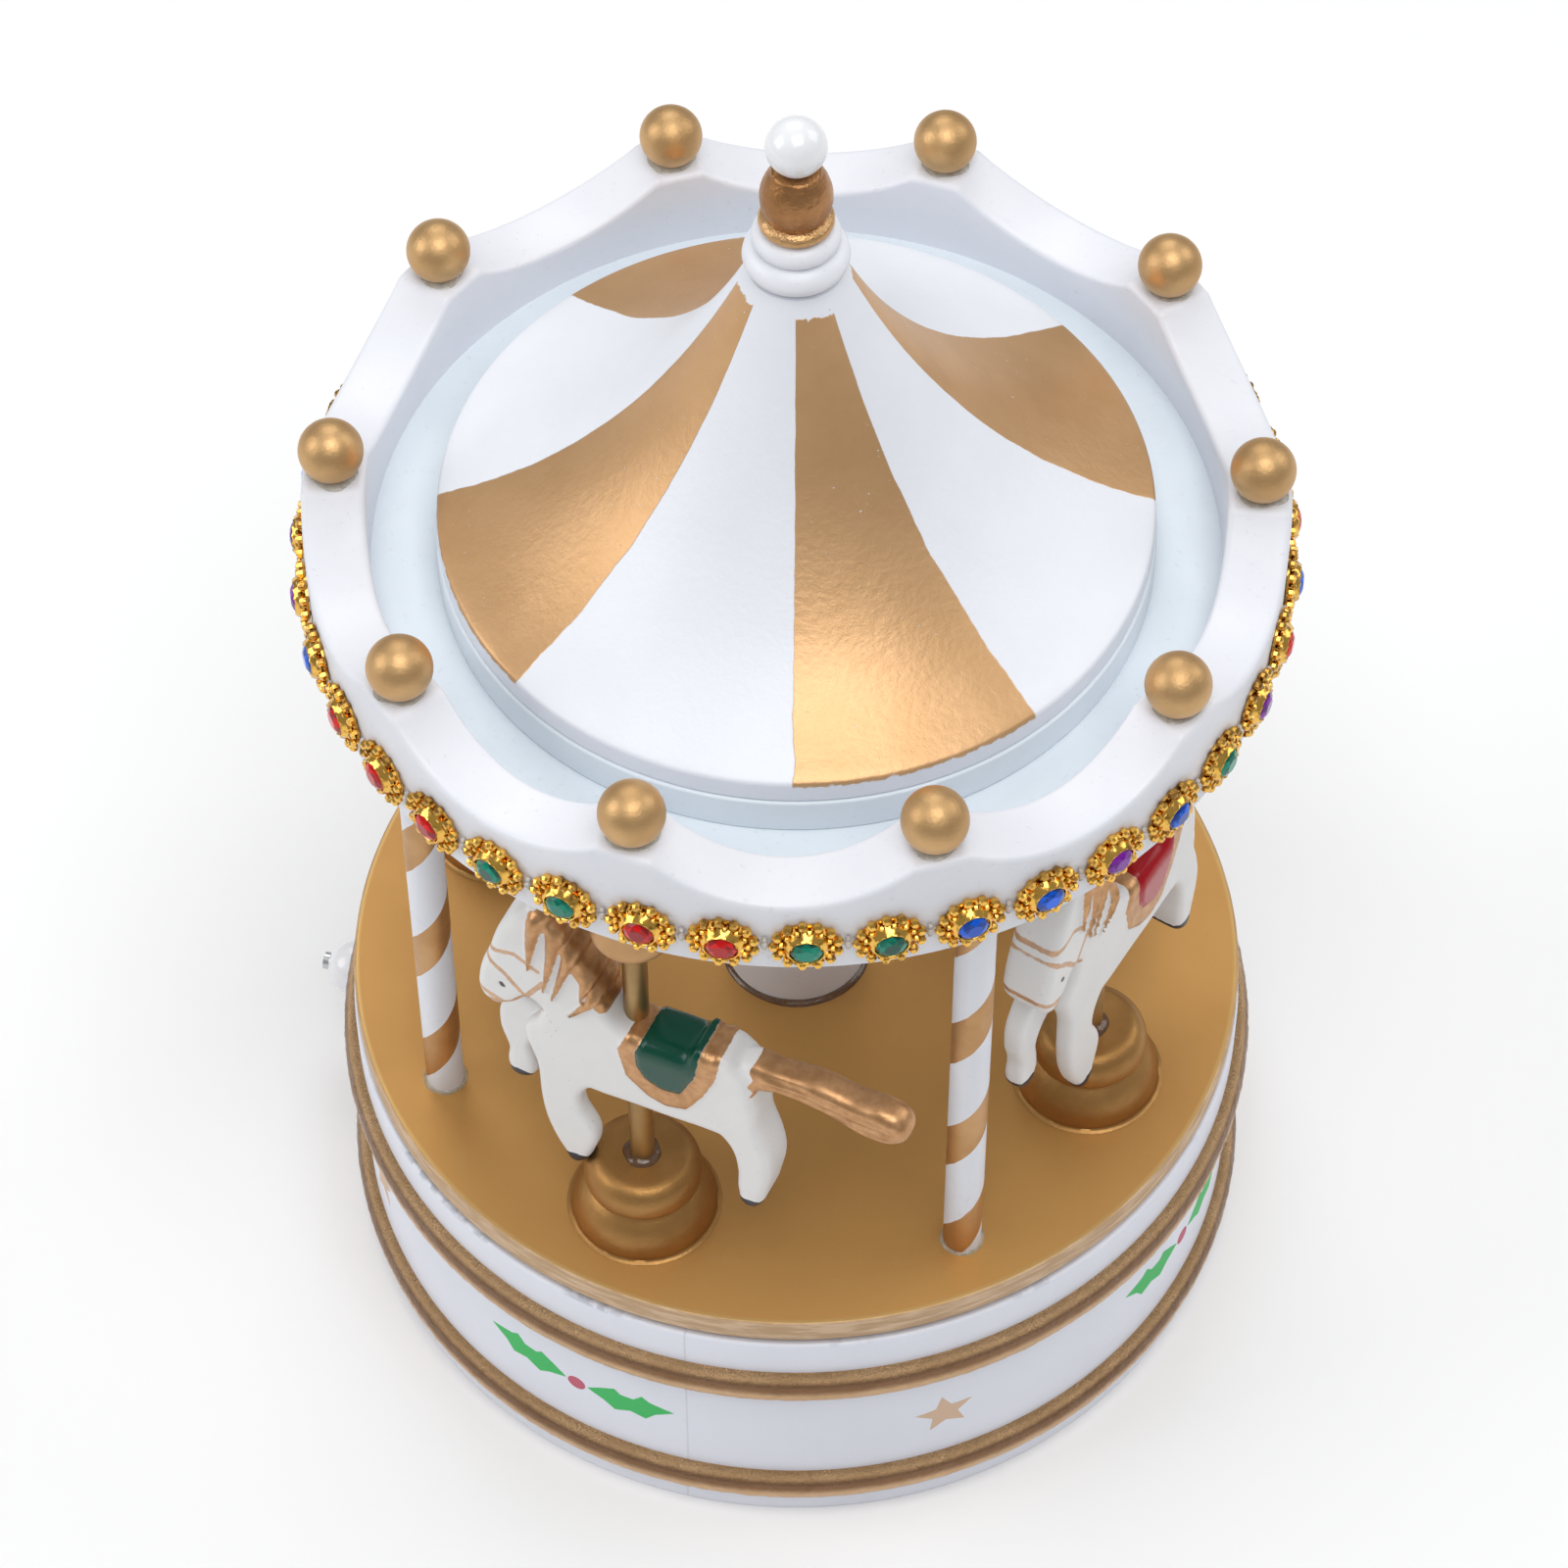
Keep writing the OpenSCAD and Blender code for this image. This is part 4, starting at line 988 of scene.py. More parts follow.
def small_ball(at, r, sides=8, rings=5):
    points, faces = lathe_mesh(ball_outline(r, 0, rings), sides)
    return [(p[0] + at[0], p[1] + at[1], p[2] + at[2]) for p in points], faces


def ribbed_cone(ribs=24):
    """The collar that holds the stone: its outer rings are fluted, its inner rings are plain."""
    outline = ((2.9, 0.5), (2.65, 0.95), (2.4, 1.35), (2.18, 1.66), (2.06, 1.76), (1.94, 1.62), (1.86, 1.1))
    points = []
    for ring, (r, h) in enumerate(outline):
        for k in range(ribs):
            swell = 0.2 if k % 2 and ring < 4 else 0
            points.append((*around(r, TAU * k / ribs), h + swell))
    ends = [[ring * ribs + k for k in range(ribs)] for ring in (0, len(outline) - 1)]
    return points, wall(len(outline), ribs) + ends


def flower():
    parts = [lathe_mesh([(0, 0.05), (3.7, 0.05), (3.7, 0.35), (2.9, 0.55), (0, 0.55)], 24)]
    for k in range(FLOWER_BEADS):
        angle = TAU * (k + 0.5) / FLOWER_BEADS
        parts.append(small_ball((*around(3.8, angle), 0.62), 0.66))
        parts.append(small_ball((*around(3.05, angle + TAU / FLOWER_BEADS / 2), 0.95), 0.42, 6, 4))
    points, faces = join(parts + [ribbed_cone()])
    return to_object("pattern_flower", facing_x(points), faces, [TRIM_GOLD], 32)


pattern_flower = flower()
flowers = set_in_ring("trim_flowers", pattern_flower, TRIM_GOLD, FLOWER_N, BASE_R, TRAY_Z, FLOWER_ANGLE)
place_piece(flowers, "carousel", "trim_gold", "trim_band")
put_away(pattern_flower)

# %% [markdown]
# ## Stones
# Each facet of a stone gets a random tone between dark and bright: painted reflections, as the facets of
# a cut stone show. It is modelled as a low crown with flat facets in a glossy, deeply coloured resin under a
# clear coat. All stones are set at once, and then each colour takes its own faces, because each is a finish
# of its own.

# %% Stones
def stone():
    sides = 8
    rings = [(GEM_R - 0.3, 1.3, 0), (GEM_R, 1.62, 0), (1.55, 1.98, 0.5), (1.0, 2.22, 0)]
    points, faces = [], []
    for r, h, shift in rings:
        points += [(*around(r, TAU * (k + shift) / sides), h) for k in range(sides)]
    for k in range(sides):
        n = (k + 1) % sides
        faces.append((k, n, sides + n, sides + k))
        faces.append((sides + k, sides + n, 2 * sides + k))
        faces.append((sides + n, 2 * sides + n, 2 * sides + k))
        faces.append((2 * sides + k, 2 * sides + n, 3 * sides + n))
        faces.append((2 * sides + k, 3 * sides + n, 3 * sides + k))
    faces += [[3 * sides + k for k in range(sides)], list(range(sides))]
    return to_object("pattern_stone", facing_x(points), faces, [TRIM_GOLD], 5)


def stone_resin(name, colour):
    paint = Paint(name, Coat_Weight=0.25, Coat_Roughness=0.03, Specular_IOR_Level=0.3)
    # Painted reflections: each facet's random value picks a dark or a bright tone of the stone's colour.
    facet_glint = paint.node("ShaderNodeAttribute", out="Fac", attribute_name="facet")
    tone = paint.mix(facet_glint, tuple(c * 0.22 for c in colour), colour)
    return paint.wear(Base_Color=tone, Metallic=facet_glint * 0.2, Roughness=0.12 + facet_glint * 0.08)


STONES = {
    "red": stone_resin("gem_red", (0.85, 0.005, 0.004)),
    "green": stone_resin("gem_green", (0.0, 0.27, 0.17)),
    "blue": stone_resin("gem_blue", (0.0, 0.13, 0.85)),
    "purple": stone_resin("gem_purple", (0.27, 0.006, 0.46)),
}
STONE_ORDER = ("green green blue blue purple blue green purple red blue red green purple blue red green "
               "blue red purple green red blue green red purple blue green red blue "
               "purple purple blue red red red green green red red").split()
pattern_stone = stone()
all_stones = set_in_ring("all_stones", pattern_stone, TRIM_GOLD, FLOWER_N, BASE_R, TRAY_Z, FLOWER_ANGLE)
put_away(pattern_stone)
STONE_FACES = len(all_stones.data.polygons) // FLOWER_N
stone_points = [tuple(c / MM for c in v.co) for v in all_stones.data.vertices]
stone_faces = [(f.index // STONE_FACES, list(f.vertices)) for f in all_stones.data.polygons]
put_away(all_stones)


def stones_of(colour):
    faces = [f for seat, f in stone_faces if STONE_ORDER[seat] == colour]
    used = sorted({i for f in faces for i in f})
    new = {old: i for i, old in enumerate(used)}
    points = [stone_points[i] for i in used]
    faces = [[new[i] for i in f] for f in faces]
    made = to_object(f"stones_{colour}", points, faces, [STONES[colour]], 5)
    cut = random.Random(len(colour))
    # A random value for each facet, which the stone's finish turns into painted reflections.
    facets = [cut.random() for _ in made.data.polygons]
    made.data.attributes.new("facet", "FLOAT", "FACE").data.foreach_set("value", facets)
    return made


for colour in STONES:
    piece = stones_of(colour)
    place_piece(piece, "carousel", f"gem_{colour}", *(["trim_gems"] if colour == "red" else []))

# %% [markdown]
# ## Links of the trim
# Between two flowers the strip is joined by three tiny clear beads. They are one pattern piece, set by the
# same ring tree half a step further round.

# %% Links
def clear_resin(name, tint, alpha):
    paint = Paint(name, Alpha=alpha, Coat_Weight=0.5)
    cloud = paint.grain(0.8, 2).ramp(0.3, 0.7)
    colour = paint.mix(cloud, tint, tuple(c * 0.7 for c in tint))
    relief = paint.bump(paint.grain(0.5, 2), 0.05)
    return paint.wear(Base_Color=colour, Roughness=0.12 + cloud * 0.1, Normal=relief)


link_parts = [small_ball((0.55, 0, 0.0), 0.5)] + [small_ball((0.4, 0, z), 0.36, 6, 4) for z in (0.75, -0.75)]
link_points, link_faces = join(link_parts)
pattern_link = to_object("pattern_link", link_points, link_faces, [TRIM_GOLD])
CLEAR_BEAD = clear_resin("clear_bead", (0.75, 0.70, 0.66), 0.8)
links = set_in_ring("trim_links", pattern_link, CLEAR_BEAD, FLOWER_N, BASE_R, TRAY_Z,
                    FLOWER_ANGLE + math.pi / FLOWER_N)
place_piece(links, "carousel", "glue")
put_away(pattern_link)

# %% [markdown]
# ## Glue
# Every dowel is glued in by hand, and the glue squeezes out in a lumpy ring: dark and reddish at the
# poles, clear at the pillars, column and balls. A ring of glue is a small fillet whose size wanders.

# %% Glue rings
def glue_ring(centre, z, r, width, height, seed, sides=48):
    points = []
    section = [(0.0, 0.0), (1.0, 0.0), (0.85, 0.35), (0.5, 0.75), (0.0, 1.0)]
    for k in range(sides):
        angle = TAU * k / sides
        x, y = around(1.3, angle)
        lump = 0.85 + 0.35 * noise.noise(Vector((x, y, seed * 3.1)) * 0.9)
        for s, t in section:
            px, py = around(r - 0.05 + s * width * lump, angle)
            points.append((centre[0] + px, centre[1] + py, z - 0.02 + t * height * lump))
    return points, wall(sides, len(section), ring=True)


dark_rings, clear_rings = [glue_ring((0, 0), DECK_Z, COLUMN_R, 0.9, 0.6, 50, 96)], []
for i in range(BAYS):
    pole_angle, pole_ring = pole_place(i + 1)
    foot = around(pole_ring, pole_angle)
    dark_rings.append(glue_ring(foot, DECK_Z + PEDESTAL_H, POLE_R, 1.15, 0.8, i))
    dark_rings.append(glue_ring(foot, DECK_Z, 9.4, 0.45, 0.25, i + 10, 72))
    post = around(PILLAR_RING, PILLAR_ANGLE + i * TAU / BAYS)
    clear_rings.append(glue_ring(post, DECK_Z, PILLAR_R, 0.6, 0.5, i + 20))
for i in range(BALL_N):
    seat = around(BALL_RING, BALL_ANGLE + i * TAU / BALL_N)
    clear_rings.append(glue_ring(seat, PEAK_Z, 1.5, 1.9, 0.55, i + 30))
for name, rings, tint, alpha in (("dark_glue", dark_rings, (0.16, 0.075, 0.03), 0.85),
                                 ("clear_glue", clear_rings, (0.62, 0.58, 0.46), 0.5)):
    place_piece(to_object(name, *join(rings), [clear_resin(name, tint, alpha)], 60), "carousel", "glue")

# %% [markdown]
# ## Stop knob
# A white wooden ball on the end of the steel rod that stops the fan. The rod's end shows as a small nub. The
# ball is turned about Z like the others, then laid over so that its axis points out of the drum.

# %% Stop knob
KNOB_ANGLE = math.radians(164.6)
KNOB_Z = 16.5
KNOB_AT = 65.0
KNOB_R = 4.0
knob_points, knob_faces = lathe_mesh(ball_outline(KNOB_R, 0), 64)
aim = Matrix.Rotation(KNOB_ANGLE, 3, "Z")
knob_points = [aim @ Vector((p[2] + KNOB_AT, p[0], p[1] + KNOB_Z)) for p in knob_points]
knob = to_object("knob_ball", knob_points, knob_faces, [GLOSS_WHITE])
place_piece(knob, "knob", "gloss_white", "stop_knob")

# %% [markdown]
# ## The horses
# All four horses come from one mould: flat resin castings with soft edges. Each part of the casting is an
# outline that a curve's bevel turns into a rounded slab. The slabs are laid over each other and a voxel
# remesh melts them into one skin, as the resin in a mould is one. Heights here are above the platform, x
# points to the nose and y points away from the axis.

# %% Outlines of the casting
TRUNK = [(-15.6, 45.0), (-13.8, 46.1), (-12.2, 45.6), (-10.6, 44.2), (-6, 43.6), (-1, 43.4), (1.4, 44.6),
         (4.4, 50.2), (7.6, 57), (10.6, 61), (13.4, 61), (16.4, 57.2), (18.6, 50.6), (20.2, 44.6), (20.1, 41),
         (18.4, 39.2), (15.6, 40.4), (12.6, 42.8), (12.9, 36), (11.6, 31), (7, 28.2), (-2, 28.4), (-10, 29.2),
         (-15.4, 30.2), (-17.4, 34), (-17.8, 40), (-17.0, 43.4)]
NEAR_FORELEG = [(12.9, 38), (12.6, 28), (12.2, 19.6), (11.2, 15.2), (9.4, 11.2), (8.0, 9.4), (6.6, 10.2),
                (5.2, 13.4), (4.5, 17.2), (5.2, 19.6), (6.4, 22.0), (6.6, 24.8), (5.4, 27.6), (1, 33)]
FAR_FORELEG = [(8, 37), (14, 38.4), (19, 34.4), (19.8, 29), (18.8, 24.6), (18.9, 20.4), (17.8, 18.8),
               (15.0, 20.4), (14.9, 23.4), (15.2, 26.8), (12.4, 30), (7, 30)]
HIND_LEG = [(-8, 39), (-11.8, 31), (-14.4, 27.6), (-15.4, 23.4), (-15.5, 18.2), (-16.0, 16.2), (-17.6, 15.4),
            (-18.8, 16.8), (-19.6, 20), (-20.2, 25.0), (-19.6, 29), (-18.4, 33), (-17.4, 38)]
TAIL = [(-15.6, 45.2), (-20, 45.8), (-26, 46.8), (-31, 46.2), (-35, 46.6), (-37.6, 45.6), (-38.4, 43.6),
        (-37.2, 41.4), (-33.8, 40.4), (-28, 41.6), (-22, 42.2), (-16.6, 41.2)]
EAR = [(9.8, 58.4), (10.6, 62.0), (12.2, 63.6), (13.2, 61.4), (13.4, 58.4)]
# Each slab: its outline, its middle, half its thickness and the radius of its edges
CASTING = [(TRUNK, 0.95, 3.2, 1.3), (NEAR_FORELEG, 2.75, 1.4, 0.9), (FAR_FORELEG, -0.7, 1.5, 0.9),
           (HIND_LEG, 0.95, 3.15, 1.2), (TAIL, 0.95, 2.3, 1.6),
           (EAR, 2.4, 0.9, 0.7), (EAR, -0.6, 0.9, 0.7)]
VOXEL = 0.4
print("slabs of a horse:", len(CASTING))

# %% [markdown]
# ## Melting the slabs together
# The casting could be sculpted by hand, but then it couldn't be changed by a number. Overlapping slabs and
# a voxel remesh give the same soft joins, and a few rounds of smoothing take away the steps of the voxels.

# %% Casting
def slab(outline, y, half, edge):
    """A rounded slab in the x-z plane, as a mesh."""
    curve = bpy.data.curves.new("slab", "CURVE")
    curve.dimensions = "2D"
    curve.fill_mode = "BOTH"
    spline = curve.splines.new("BEZIER")
    spline.bezier_points.add(len(outline) - 1)
    for knot, (x, z) in zip(spline.bezier_points, outline):
        knot.co = (x * MM, z * MM, 0)
        knot.handle_left_type = knot.handle_right_type = "AUTO"
    spline.use_cyclic_u = True
    spline.resolution_u = 6
    curve.extrude = (half - edge) * MM
    curve.bevel_depth = edge * MM
    curve.bevel_resolution = 4
    curve.offset = -edge * MM
    holder = add_object("slab", curve)
    bpy.context.view_layer.update()
    mesh = bpy.data.meshes.new_from_object(holder)
    put_away(holder)
    bpy.data.curves.remove(curve)
    mesh.transform(Matrix.Translation((0, y * MM, 0)) @ Matrix.Rotation(math.pi / 2, 4, "X"))
    return mesh


def head_width(x, z):
    """How many times as wide as its slab the casting is here: the head is a little wider at the nose."""
    if x < 11 or z < 38:
        return 1.0
    return 1.0 + 0.12 * min(1.0, (x - 11) / 9.5)


def cast():
    """The slabs, melted into one smooth skin."""
    work = bmesh.new()
    for outline, y, half, edge in CASTING:
        part = slab(outline, y, half, edge)
        work.from_mesh(part)
        bpy.data.meshes.remove(part)
    middle = CASTING[0][1] * MM
    for v in work.verts:
        v.co.y = middle + (v.co.y - middle) * head_width(v.co.x / MM, v.co.z / MM)
    mesh = bpy.data.meshes.new("casting")
    work.to_mesh(mesh)
    work.free()
    holder = add_object("casting", mesh)
    melt = holder.modifiers.new("melt", "REMESH")
    melt.mode = "VOXEL"
    melt.voxel_size = VOXEL * MM
    soften = holder.modifiers.new("soften", "SMOOTH")
    soften.factor = 0.5
    soften.iterations = 5
    melted = finished_mesh(holder)
    put_away(holder)
    return melted


casting = cast()
print("casting:", len(casting.polygons), "faces")

# %% [markdown]
# ## Painted and raised areas of a horse
# The saddle, blanket, mane, tail and hooves are raised a little on the casting and then painted by hand.
# For each area every vertex keeps its signed distance to the area's edge, in millimetres and positive
# inside. The same number lifts the mesh and, in the material, gives an edge that is sharp at any zoom.

# %% Areas of a horse
SADDLE = [(-3.0, 60), (-2.9, 44), (-1.9, 41.6), (-2.1, 39.0), (-3.2, 36.9), (-5.6, 35.9), (-8.2, 36.4),
          (-10.1, 41.0), (-11.0, 44.4), (-11.6, 60)]
BLANKET = [(-0.7, 44.0), (0.7, 40.4), (-0.4, 35.2), (-3.4, 32.6), (-6.0, 31.9), (-8.8, 32.9),
           (-11.2, 37.3), (-12.8, 41.6), (-13.4, 44.4), (-13.6, 60), (-11.4, 60), (-11.2, 44.8), (-3.2, 44.8)]
LOCKS = [[(11.4, 61), (12.2, 55.5), (12.6, 50.6)], [(8.8, 60), (9.5, 54), (10.7, 46.7)],
         [(6.4, 59), (7.6, 53.0), (9.6, 45.4)], [(4.4, 56), (5.0, 51), (5.5, 47.6)],
         [(2.6, 52.0), (4.4, 47.6), (7.4, 43.2)]]
LOCK_R = 1.2
CREST = [(10.2, 62.0), (7.2, 57.4), (4.0, 50.8), (2.4, 47.4)]
CREST_R = 1.5
TAIL_LINE = [(-15, 43.4), (-24, 44.4), (-31, 43.6), (-36, 43.4)]
STRAPS = [[(18.6, 49.6), (16.1, 47.4), (13.9, 44.6), (11.4, 41.9)],
          [(19.0, 40.4), (15.6, 41.0), (13.3, 44.0), (10.6, 48.6)],
          [(20.4, 42.6), (16.7, 41.0)], [(18.9, 51.2), (14.6, 52.4), (11.4, 50.4)]]
STRAP_R = 0.38
HOOVES = [((7.0, 8.0), 3.9), ((17.2, 17.4), 3.4), ((-17.6, 13.8), 3.9)]
EYE = (16.6, 44.6)
EYE_R = 0.62
NOWHERE = -9  # a distance that is outside every area
print("painted areas drawn")

# %% [markdown]
# ## Distances on the side of a horse
# Seen from its side, a horse is flat, so an area's edge is a line in x and z. These helpers work on all
# vertices at once: the distance to a line, the signed distance to an outline, and a soft step between.

# %% Distances to outlines and lines
def vectors_of(mesh, key):
    flat = np.empty(len(mesh.vertices) * 3)
    mesh.vertices.foreach_get(key, flat)
    return flat.reshape(-1, 3)


def to_line(p, line):
    """Distance of each point from a line of points, and how far along the line it is, from 0 to 1."""
    best, along = np.full(len(p), 1e9), np.zeros(len(p))
    for i, (a, b) in enumerate(zip(line, line[1:])):
        a, b = np.array(a, float), np.array(b, float)
        t = np.clip(((p - a) @ (b - a)) / ((b - a) @ (b - a)), 0, 1)
        d = np.linalg.norm(p - a - t[:, None] * (b - a), axis=1)
        closer = d < best
        best = np.where(closer, d, best)
        along = np.where(closer, (i + t) / (len(line) - 1), along)
    return best, along


def inside(p, outline):
    """Signed distance to the edge of an area: positive inside."""
    edge, _ = to_line(p, outline + outline[:1])
    within = np.zeros(len(p), bool)
    for a, b in zip(outline, outline[1:] + outline[:1]):
        crosses = (a[1] > p[:, 1]) != (b[1] > p[:, 1])
        at = a[0] + (p[:, 1] - a[1]) * (b[0] - a[0]) / (b[1] - a[1] if b[1] != a[1] else 1e-9)
        within ^= crosses & (p[:, 0] < at)
    return np.where(within, edge, -edge)


def soft_step(x, low, high):
    t = np.clip((x - low) / (high - low), 0, 1)
    return t * t * (3 - 2 * t)


def lock(side, line):
    """Distance of each point from a lock's line, and the lock's half width there: it thins to its tip."""
    d, t = to_line(side, line)
    return d, LOCK_R * (1 - 0.88 * t)


print("distances ready")

# %% [markdown]
# ## Raising the painted areas
# The areas are measured first, then the skin is lifted along its normals where one lies. The distances
# are measured again on the skin as it was before the lift and kept on the lifted skin, so that paint and
# relief end at the same edge.

# %% Raised and painted areas
def tail_area(side):
    """The tail behind the rump, with a wavy front edge, kept near its own line."""
    x, z = side[:, 0], side[:, 1]
    tail = np.where(x < -12, -17.4 - x + 0.25 * np.sin(z * 2.4), NOWHERE)
    tail = np.where(z < 40.4, np.minimum(tail, z - 40.2), tail)
    return np.minimum(tail, 4.6 - to_line(side, TAIL_LINE)[0])


def areas(points):
    """The signed distances of every vertex to the painted areas."""
    side = points[:, [0, 2]]
    locks = [reach - d for d, reach in (lock(side, line) for line in LOCKS)]
    hooves = [r - np.linalg.norm(side - np.array(c), axis=1) for c, r in HOOVES]
    straps = [to_line(side, line)[0] for line in STRAPS]
    up = side[:, 1] - EYE[1]
    eye = np.hypot((side[:, 0] - EYE[0]) * 1.5 - up * 0.5, up)
    return {
        "saddle": inside(side, SADDLE),
        "blanket": inside(side, BLANKET),
        "mane": np.maximum(np.max(locks, axis=0), CREST_R - to_line(side, CREST)[0]),
        "tail": tail_area(side),
        "hoof": np.max(hooves, axis=0),
        "strap": STRAP_R - np.min(straps, axis=0),
        "eye": np.where(np.abs(points[:, 1]) > 1.5, EYE_R - eye, NOWHERE),
    }


def lift_of(points, found):
    """How far each vertex is lifted by the modelling of the casting."""
    side = points[:, [0, 2]]
    lift = 0.35 * soft_step(found["blanket"], -0.1, 0.5) + 0.45 * soft_step(found["saddle"], -0.1, 0.6)
    lift += 0.5 * soft_step(found["mane"], -0.2, 0.8)
    for line in LOCKS:
        d, reach = lock(side, line)
        lift += 0.45 * np.clip(1 - (d / reach) ** 2, 0, 1)
    off, _ = to_line(side, TAIL_LINE)
    line_z = np.interp(-side[:, 0], [-x for x, z in TAIL_LINE], [z for x, z in TAIL_LINE])
    under = np.sign(side[:, 1] - line_z) * off
    run = soft_step(-side[:, 0], 18.5, 20.5)
    for place, deep in ((-0.2, 0.34), (-1.4, 0.32), (1.1, 0.22)):
        lift -= deep * run * np.exp(-((under - place) / 0.30) ** 2)
    lift -= 0.18 * soft_step(found["eye"], -0.3, 0.3)
    lift += 0.12 * soft_step(found["hoof"], -0.1, 0.3)
    return lift


points = vectors_of(casting, "co") / MM
found = areas(points)
cantle = np.exp(-((points[:, 0] + 10.6) / 1.1) ** 2) * soft_step(points[:, 2], 42, 44)
moved = points + vectors_of(casting, "normal") * lift_of(points, found)[:, None]
moved[:, 2] += 1.5 * cantle
casting.vertices.foreach_set("co", (moved * MM).ravel())
for name, values in areas(points).items():
    casting.attributes.new(name, "FLOAT", "POINT").data.foreach_set("value", values)
casting.update()
print("areas:", ", ".join(found))

# %% [markdown]
# ## Horse paint
# White enamel over resin, with small pits and hand-painted edges. The saddle is glossy, the gold is the
# same flake paint as elsewhere but redder, and only the soles of the hooves are black. Every mask comes
# from a distance on the mesh, shaken a little by noise, because a brush doesn't follow an edge exactly.

# %% Horse paint
def horse_paint(name, saddle_colour):
    paint = Paint(name, Specular_IOR_Level=0.28, Coat_Roughness=0.22)
    shake = (paint.grain(0.8, 2, seed=41) - 0.5) * 0.35

    def area(key, edge=0.05, still=False):
        distance = paint.node("ShaderNodeAttribute", out="Fac", attribute_name=key)
        return (distance if still else distance + shake).ramp(-edge, edge)

    saddle, blanket, mane = area("saddle"), area("blanket"), area("mane", 0.08)
    tail, hoof, strap, eye = area("tail"), area("hoof"), area("strap", 0.1), area("eye", 0.1, True)
    cloud = paint.grain(7, 4, seed=42).ramp(0.3, 0.7)
    flakes = paint.grain(0.14, 1, seed=43)
    chips = paint.grain(0.5, 2, 0.5, seed=44).ramp(0.70, 0.74)
    chips = chips * paint.grain(5, 2, seed=45).ramp(0.5, 0.62)
    deep = paint.grain(1.4, 3, 0.6, seed=46).ramp(0.3, 0.7)
    gold = paint.mix(deep * 0.7, (0.62, 0.35, 0.17), (0.42, 0.21, 0.09))
    gold = paint.mix(flakes.ramp(0.6, 0.8) * 0.3, gold, (0.75, 0.45, 0.22))
    gilded = (blanket + mane + tail).maths("MINIMUM", 1.0) * (1 - saddle)
    gilded = (gilded + strap * 0.85).maths("MINIMUM", 1.0) * (1 - saddle)
    colour = paint.mix(cloud * 0.3, (0.82, 0.81, 0.80), (0.74, 0.73, 0.72))
    colour = paint.mix(chips * 0.35, colour, (0.30, 0.29, 0.28))
    colour = paint.mix(gilded, colour, gold)
    colour = paint.mix(saddle, colour, saddle_colour)
    colour = paint.mix(hoof, colour, (0.02, 0.025, 0.04))
    colour = paint.mix(eye, colour, (0.08, 0.08, 0.09))
    relief = paint.bump(1 - chips, 0.05)
    relief = paint.bump(paint.grain(0.5, 3, 0.6, seed=47), 0.02, relief)
    relief = paint.bump(flakes * gilded, 0.01, relief)
    gloss = 0.42 - saddle * 0.22 - gilded * 0.10 - hoof * 0.10
    return paint.wear(Base_Color=colour, Metallic=gilded * 0.8, Roughness=gloss + flakes * gilded * 0.1,
                      Coat_Weight=saddle * 0.12 + hoof * 0.2, Normal=relief)


SADDLES = {"green": horse_paint("horse_green_saddle", (0.0, 0.062, 0.036)),
           "red": horse_paint("horse_red_saddle", (0.42, 0.005, 0.012))}
HORSE_TURN = (0, -5, 0, 30)
for number, saddle_name in enumerate(("green", "red", "green", "red"), 1):
    pole_angle, pole_ring = pole_place(number)
    turn = math.radians(HORSE_TURN[number - 1])
    mesh = casting.copy()
    mesh.transform(Matrix.Rotation(pole_angle, 4, "Z") @ Matrix.Translation((pole_ring * MM, 0, DECK_Z * MM))
                   @ Matrix.Rotation(turn - math.pi / 2, 4, "Z"))
    mesh.materials.clear()
    mesh.materials.append(SADDLES[saddle_name])
    mesh.shade_smooth()
    steed = add_object(f"galloper_{number}", mesh)
    place_piece(steed, "carousel", "horse_resin", f"horse_{number}")

# %% [markdown]
# ## Pieces that keep their shape
# The movement, the key, the screws and the hidden boards are right as they were designed, so they only
# get a finish: turned brass, zinc-plated steel, blued spring steel, bare plywood and grey primer. Each
# metal has fine scratches that run one way and a slight tarnish.

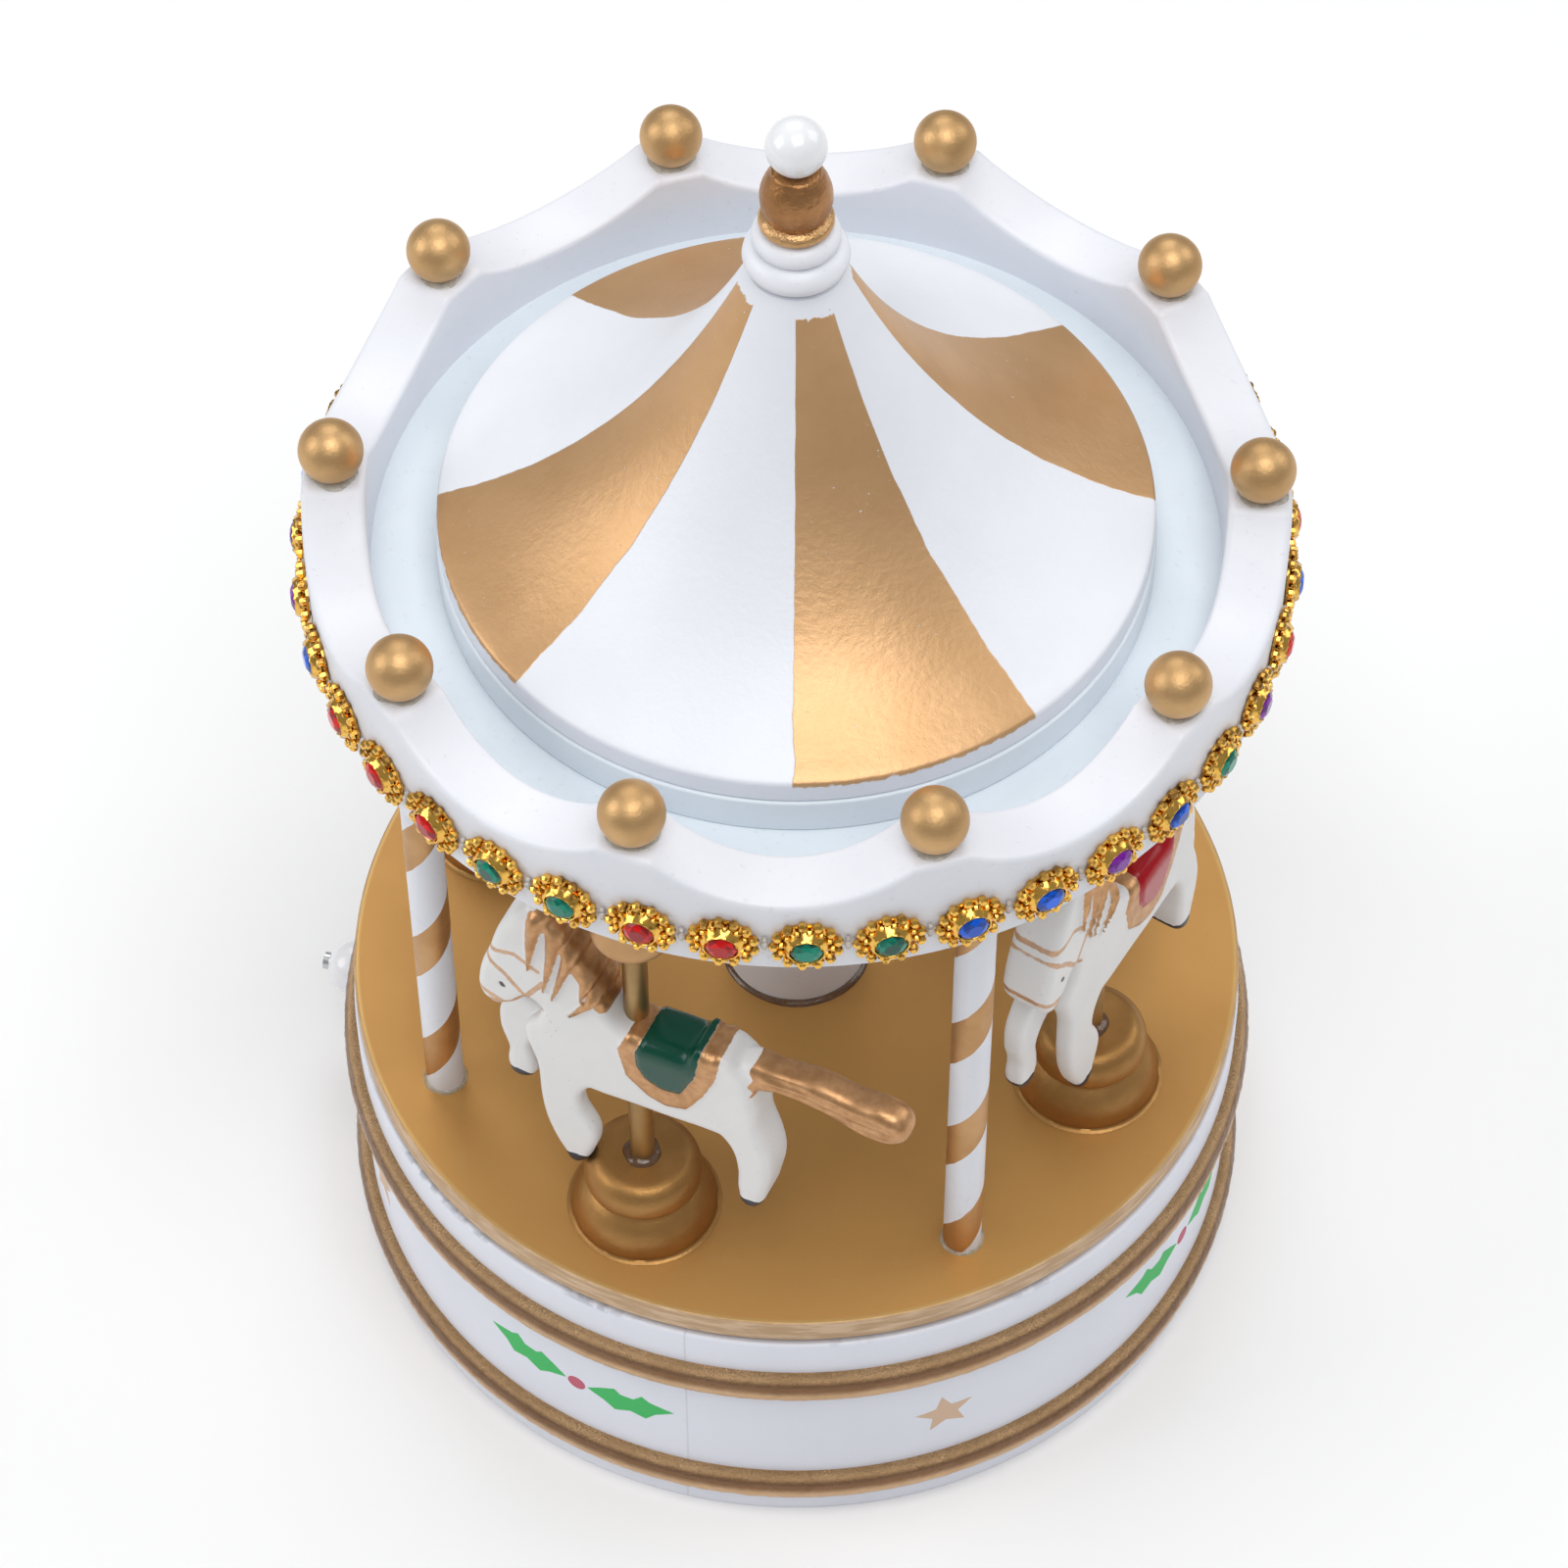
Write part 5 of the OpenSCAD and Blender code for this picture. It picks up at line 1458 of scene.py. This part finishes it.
# %% Metals, board and primer
def metal(name, base, dull, roughness):
    paint = Paint(name, Metallic=1.0)
    lines = paint.grain(0.5, 3, 0.6, (1, 1, 6), seed=51)
    stain = paint.grain(5, 4, 0.6, seed=52).ramp(0.4, 0.75)
    shine = roughness + lines * 0.12 + stain * 0.1
    return paint.wear(Base_Color=paint.mix(stain * 0.5, base, dull), Roughness=shine,
                      Normal=paint.bump(lines, 0.008))


def board_paint(name, pale, dark, roughness, stretch=(1, 12, 12)):
    paint = Paint(name)
    growth = paint.grain(9, 5, 0.65, stretch, seed=61)
    pores = paint.grain(1.0, 3, 0.7, stretch, seed=62).ramp(0.62, 0.72)
    colour = paint.mix(growth.ramp(0.35, 0.65), pale, dark)
    colour = paint.mix(pores * 0.3, colour, tuple(c * 0.6 for c in dark))
    return paint.wear(Base_Color=colour, Roughness=roughness + pores * 0.1, Normal=paint.bump(growth, 0.04))


FINISHES = {
    "brass": metal("brass", (0.78, 0.56, 0.22), (0.55, 0.36, 0.13), 0.26),
    "steel": metal("steel", (0.62, 0.62, 0.63), (0.45, 0.45, 0.46), 0.24),
    "spring_steel": metal("spring_steel", (0.33, 0.35, 0.42), (0.22, 0.24, 0.30), 0.28),
    "zinc_plate": metal("zinc_plate", (0.70, 0.70, 0.69), (0.56, 0.55, 0.52), 0.34),
    "bare_wood": board_paint("bare_wood", (0.62, 0.46, 0.28), (0.48, 0.33, 0.18), 0.62),
    "grey_primer": board_paint("grey_primer", (0.40, 0.41, 0.44), (0.31, 0.32, 0.35), 0.6, (1, 1, 1)),
}
MADE_OF = {
    "brass": "spindle_bush governor_bracket spring_barrel barrel_spindle platform_hub music_cylinder "
             "cylinder_wheel worm_wheel governor_fan",
    "steel": "comb cylinder_arbor second_arbor governor_worm winding_arbor winding_key stop_rod",
    "spring_steel": "mainspring",
    "zinc_plate": "bottom_screws movement_plate movement_screws comb_screws",
    "bare_wood": "bottom_board",
    "grey_primer": "top_board",
}
for finish, names in MADE_OF.items():
    for name in names.split():
        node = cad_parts[name]
        node.data.materials.clear()
        node.data.materials.append(FINISHES[finish])
    print(finish, "on", names)
